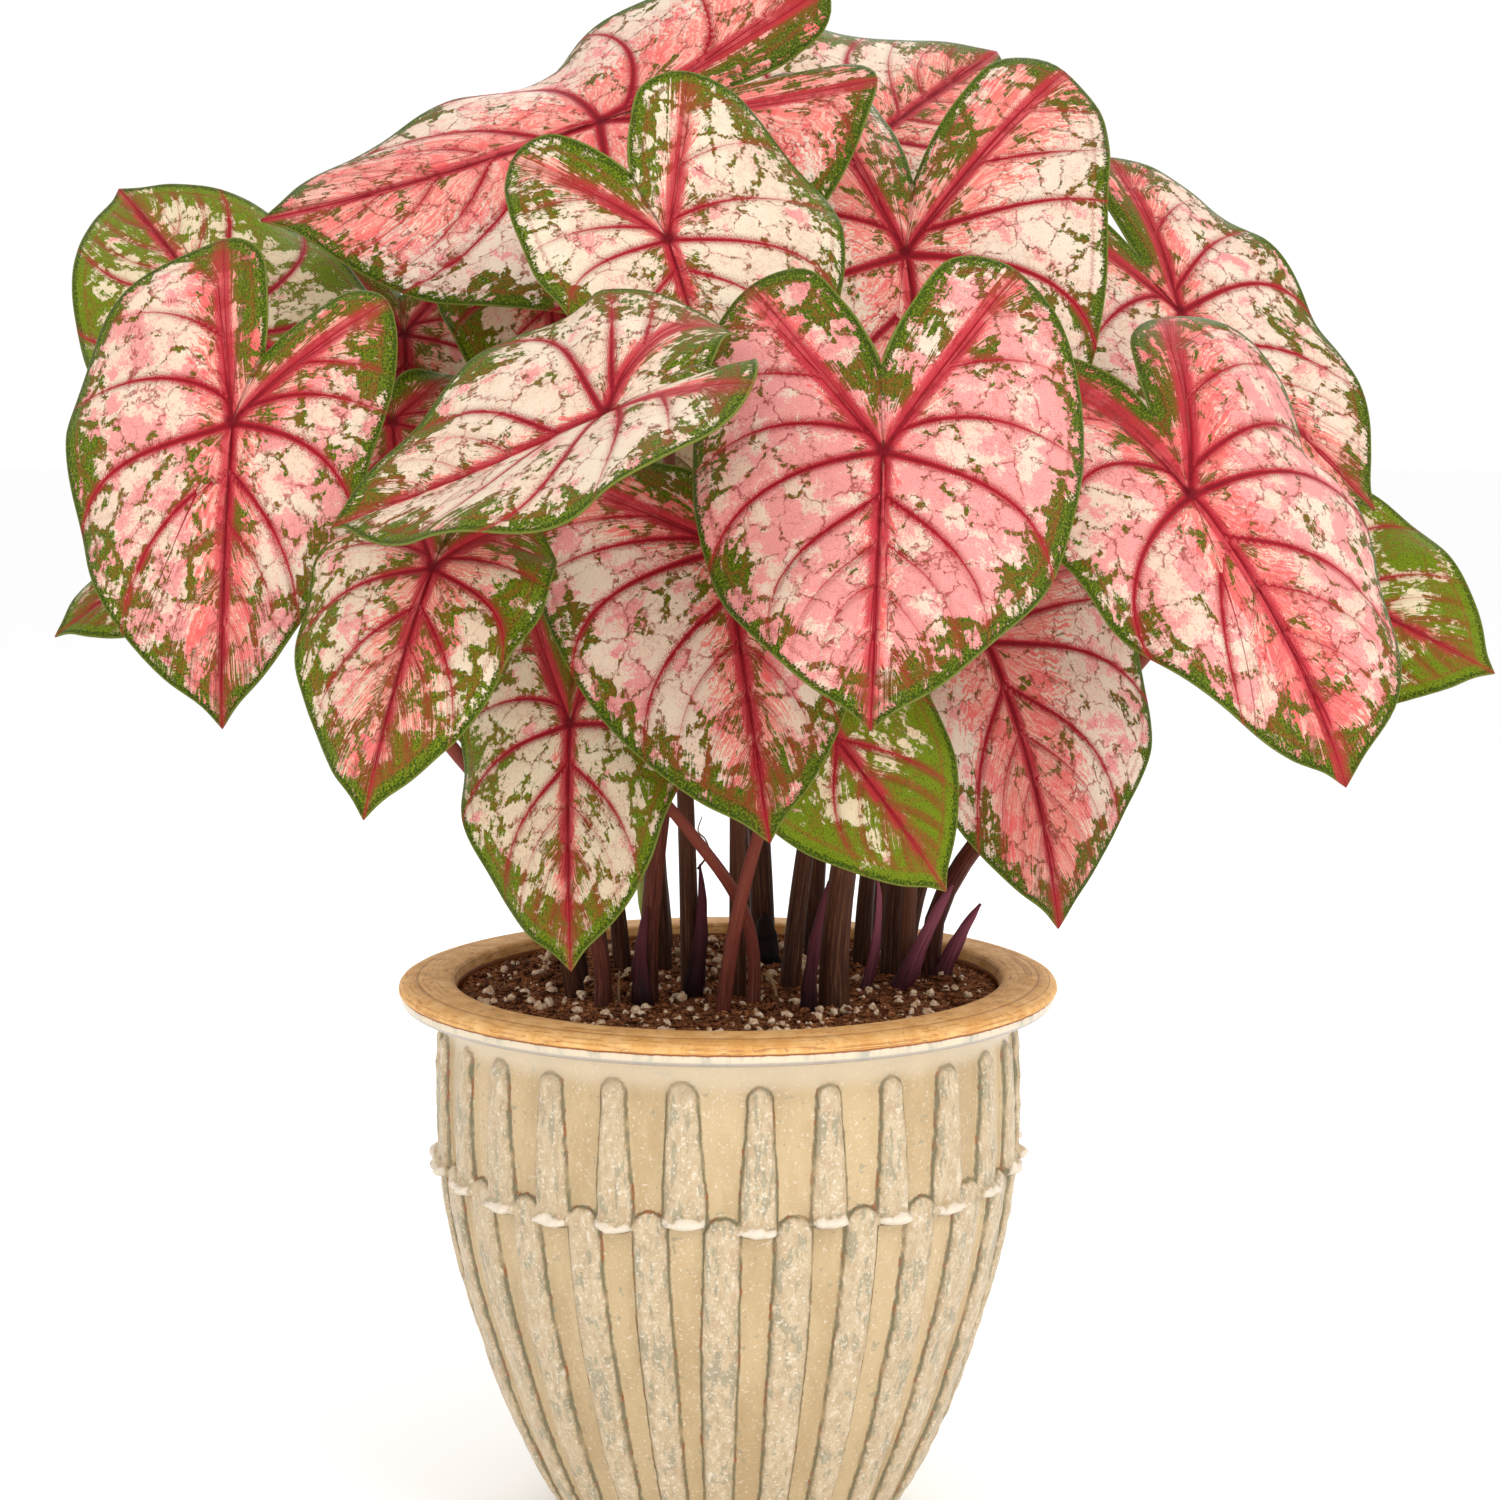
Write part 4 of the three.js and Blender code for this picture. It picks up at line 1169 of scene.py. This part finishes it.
# %% Spin the pot
def spin_pot():
    """The profile turned round, its wall pushed out where a strip is, with what the glaze has to know."""
    shape = bmesh.new()
    corners = [shape.verts.new((radius * MM, 0, z * MM)) for radius, z in profile]
    edges = [shape.edges.new(pair) for pair in zip(corners, corners[1:])]
    bmesh.ops.spin(
        shape, geom=corners + edges, cent=(0, 0, 0), axis=(0, 0, 1), dvec=(0, 0, 0), angle=2 * math.pi,
        steps=POT_COLUMNS, use_merge=True, use_duplicate=False)
    bmesh.ops.remove_doubles(shape, verts=shape.verts, dist=MERGE_GAP)
    bmesh.ops.recalc_face_normals(shape, faces=shape.faces)
    mesh = mesh_from(shape, "stoneware pot")
    x, y, z = points_of(mesh).T / MM
    radius, angle = np.hypot(x, y), np.arctan2(y, x)
    wall = np.interp(z, body_line[:, 1], body_line[:, 0])
    outside = (z < NECK_Z + 0.1) & (np.abs(radius - wall) < SAME_WALL)
    inside, lip = strip_places(angle, z, np.maximum(radius, 1))
    crust = noise_at(x / 4, y / 4, z / 6) * (0.12 + 0.6 * ease(inside / 2) + 1.3 * lip)
    push = np.where(outside, relief(inside, lip, z) + crust, 0)
    grown = (radius + push) / np.maximum(radius, 1e-6)
    mesh.vertices.foreach_set("co", (np.column_stack((x * grown, y * grown, z)) * MM).ravel())
    inside, lip = np.where(outside, inside, NOT_ON_STRIP), np.where(outside, lip, 0)
    add_numbers(mesh, "glaze", np.column_stack((inside, lip, z)))
    add_numbers(mesh, "turned", np.column_stack((radius, z, 5 * noise_at(x / 45, y / 45, 0.5))))
    return mesh


pot_mesh = spin_pot()
print("pot faces:", len(pot_mesh.polygons))

# %% The glaze and the clay
BEIGE, BEIGE_DARK = "#c5ab81", "#b2976c"
STRIP_PALE, STRIP_GREY = "#cbb592", "#bda380"
STRIP_OLIVE, OUTLINE, RUST = "#8b8970", "#7c7455", "#9c5c2e"
RUN_WHITE, LIP_PALE = "#ebe0cd", "#eadcc8"
CLAY, CLAY_DEEP, CLAY_BROWN_AND_SHADE = "#ebbb79", "#d89e54", "#8f5122"
ROLL_GLAZE_AND_NECK_LIGHT, ROLL_GREY, ROLL_UNDER_SHADE = "#dccbaf", "#a7a698", "#8f8787"
CLAY_LOW = 224.3
CREASE_RADIUS = 127.4


def plain_glaze(spots, height, speck):
    """Smooth beige with slow clouds, a darker foot, olive dots and fine pale specks."""
    slow = spots.noise(40, 5, 0.65, (1, 1, 0.35)).step(0.38, 0.68)
    colour = slow.work("ADD", height.step(140, 40) * 0.3, clamp=True).mix(BEIGE, BEIGE_DARK)
    colour = colour.coat(spots.noise(240, 2, 0.5).step(0.66, 0.71) * 0.6, STRIP_OLIVE)
    return colour.coat(speck.step(0.58, 0.68) * 0.5, RUN_WHITE)


def strip_glaze(spots, colour, within, rough, speck, lip):
    """Beige crust with long olive pits on each strip, an olive line round it and a pale lip at its end."""
    blotch = spots.noise(60, 3, 0.6)
    pits = spots.noise(330, 4, 0.65, (1, 1, 0.22)) + blotch * 0.6 - 0.3
    strip = rough.step(0.4, 0.56).mix(STRIP_GREY, STRIP_PALE)
    strip = strip.coat(rough.step(0.58, 0.66) * 0.7, LIP_PALE)
    strip = strip.coat(pits.step(0.54, 0.61) * 0.6, STRIP_OLIVE)
    strip = strip.coat(speck.step(0.56, 0.65) * 0.7, RUN_WHITE)
    colour = colour.coat(within.step(0.2, 1.4), strip)
    line = abs(within - 0.3).step(0.9, 0.2) * blotch.step(0.24, 0.5)
    colour = colour.coat(line, rough.step(0.5, 0.62).mix(OUTLINE, RUST))
    return colour.coat((lip + rough * 0.9 - 0.45).step(0.45, 0.75) * 0.85, LIP_PALE)


def rim_clay(spots, turned, colour, radius, height, blotch):
    """The grey roll of glaze with painted shade under it, the neck painted paler as painted light, the sharp
    clay edge over the roll, the golden band with painted shade in its crease and the flat tan top.
    """
    wavy = height + blotch * 1.6 - 0.8
    roll = blotch.step(0.46, 0.74).mix(ROLL_GLAZE_AND_NECK_LIGHT, ROLL_GREY)
    # Painted shade: a darker mauve line along the underside of the roll.
    roll = roll.coat(abs(wavy - 220.9).step(1.5, 0.6) * 0.6, ROLL_UNDER_SHADE)
    # Painted light: the neck below the roll is painted paler against the shade that the rim casts on it.
    colour = colour.coat(height.step(204, 213) * 0.7, ROLL_GLAZE_AND_NECK_LIGHT)
    colour = colour.coat(wavy.step(217, 220), roll)
    streaks = turned.noise(0.9, 6, 0.72)
    clay = blotch.step(0.36, 0.62).mix(CLAY, CLAY_DEEP)
    clay = clay.coat(streaks.step(0.53, 0.62) * 0.6, CLAY_BROWN_AND_SHADE)
    clay = clay.coat(streaks.step(0.44, 0.34) * 0.6, CLAY)
    # Painted shade: a darker line along the crease of the rim's top. The same brown also paints real streaks
    # and spots.
    clay = clay.coat(abs(radius - CREASE_RADIUS).step(0.8, 0.2) * 0.5, CLAY_BROWN_AND_SHADE)
    clay = clay.coat(spots.noise(420, 3, 0.6).step(0.62, 0.7) * 0.5, CLAY_BROWN_AND_SHADE)
    clay = clay.coat(wavy.step(225.7, 225), CLAY_BROWN_AND_SHADE)
    within = radius.step(113.5, 112.5) * height.step(200, 202)
    return colour.coat(wavy.step(CLAY_LOW, CLAY_LOW + 0.4).larger(within), clay)


def pot_finish():
    """Glaze on the wall, crust on the strips and bare clay from the rim inwards."""
    finish = Finish("stoneware and glaze")
    spots = finish.places()
    turned = finish.attribute("turned")
    radius, height, _ = turned.split()
    inside, lip, _ = finish.attribute("glaze").split()
    speck = spots.noise(700, 3, 0.7)
    rough = spots.noise(260, 6, 0.75, (1, 1, 0.6))
    blotch = spots.noise(110, 5, 0.7, (1, 1, 0.4))
    within = inside + rough * 2.6 - 1.3
    colour = plain_glaze(spots, height, speck)
    colour = strip_glaze(spots, colour, within, rough, speck, lip)
    colour = rim_clay(spots, turned, colour, radius, height, blotch)
    gloss = within.step(0, 2) * 0.15 + 0.26
    bare = height.step(CLAY_LOW, CLAY_LOW + 0.4)
    finish.feed(finish.skin["Roughness"], bare * 0.45 + gloss)
    return finish.done(colour, rough * within.step(-0.5, 1.5) + speck * 0.15, 0.0014, 0.8)


pot = link_piece("glazed_pot", pot_mesh, pot_finish())
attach(pot, "root")
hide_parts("pot")
print("pot is", round(max(corner.co.z for corner in pot.data.vertices), 4), "m tall")
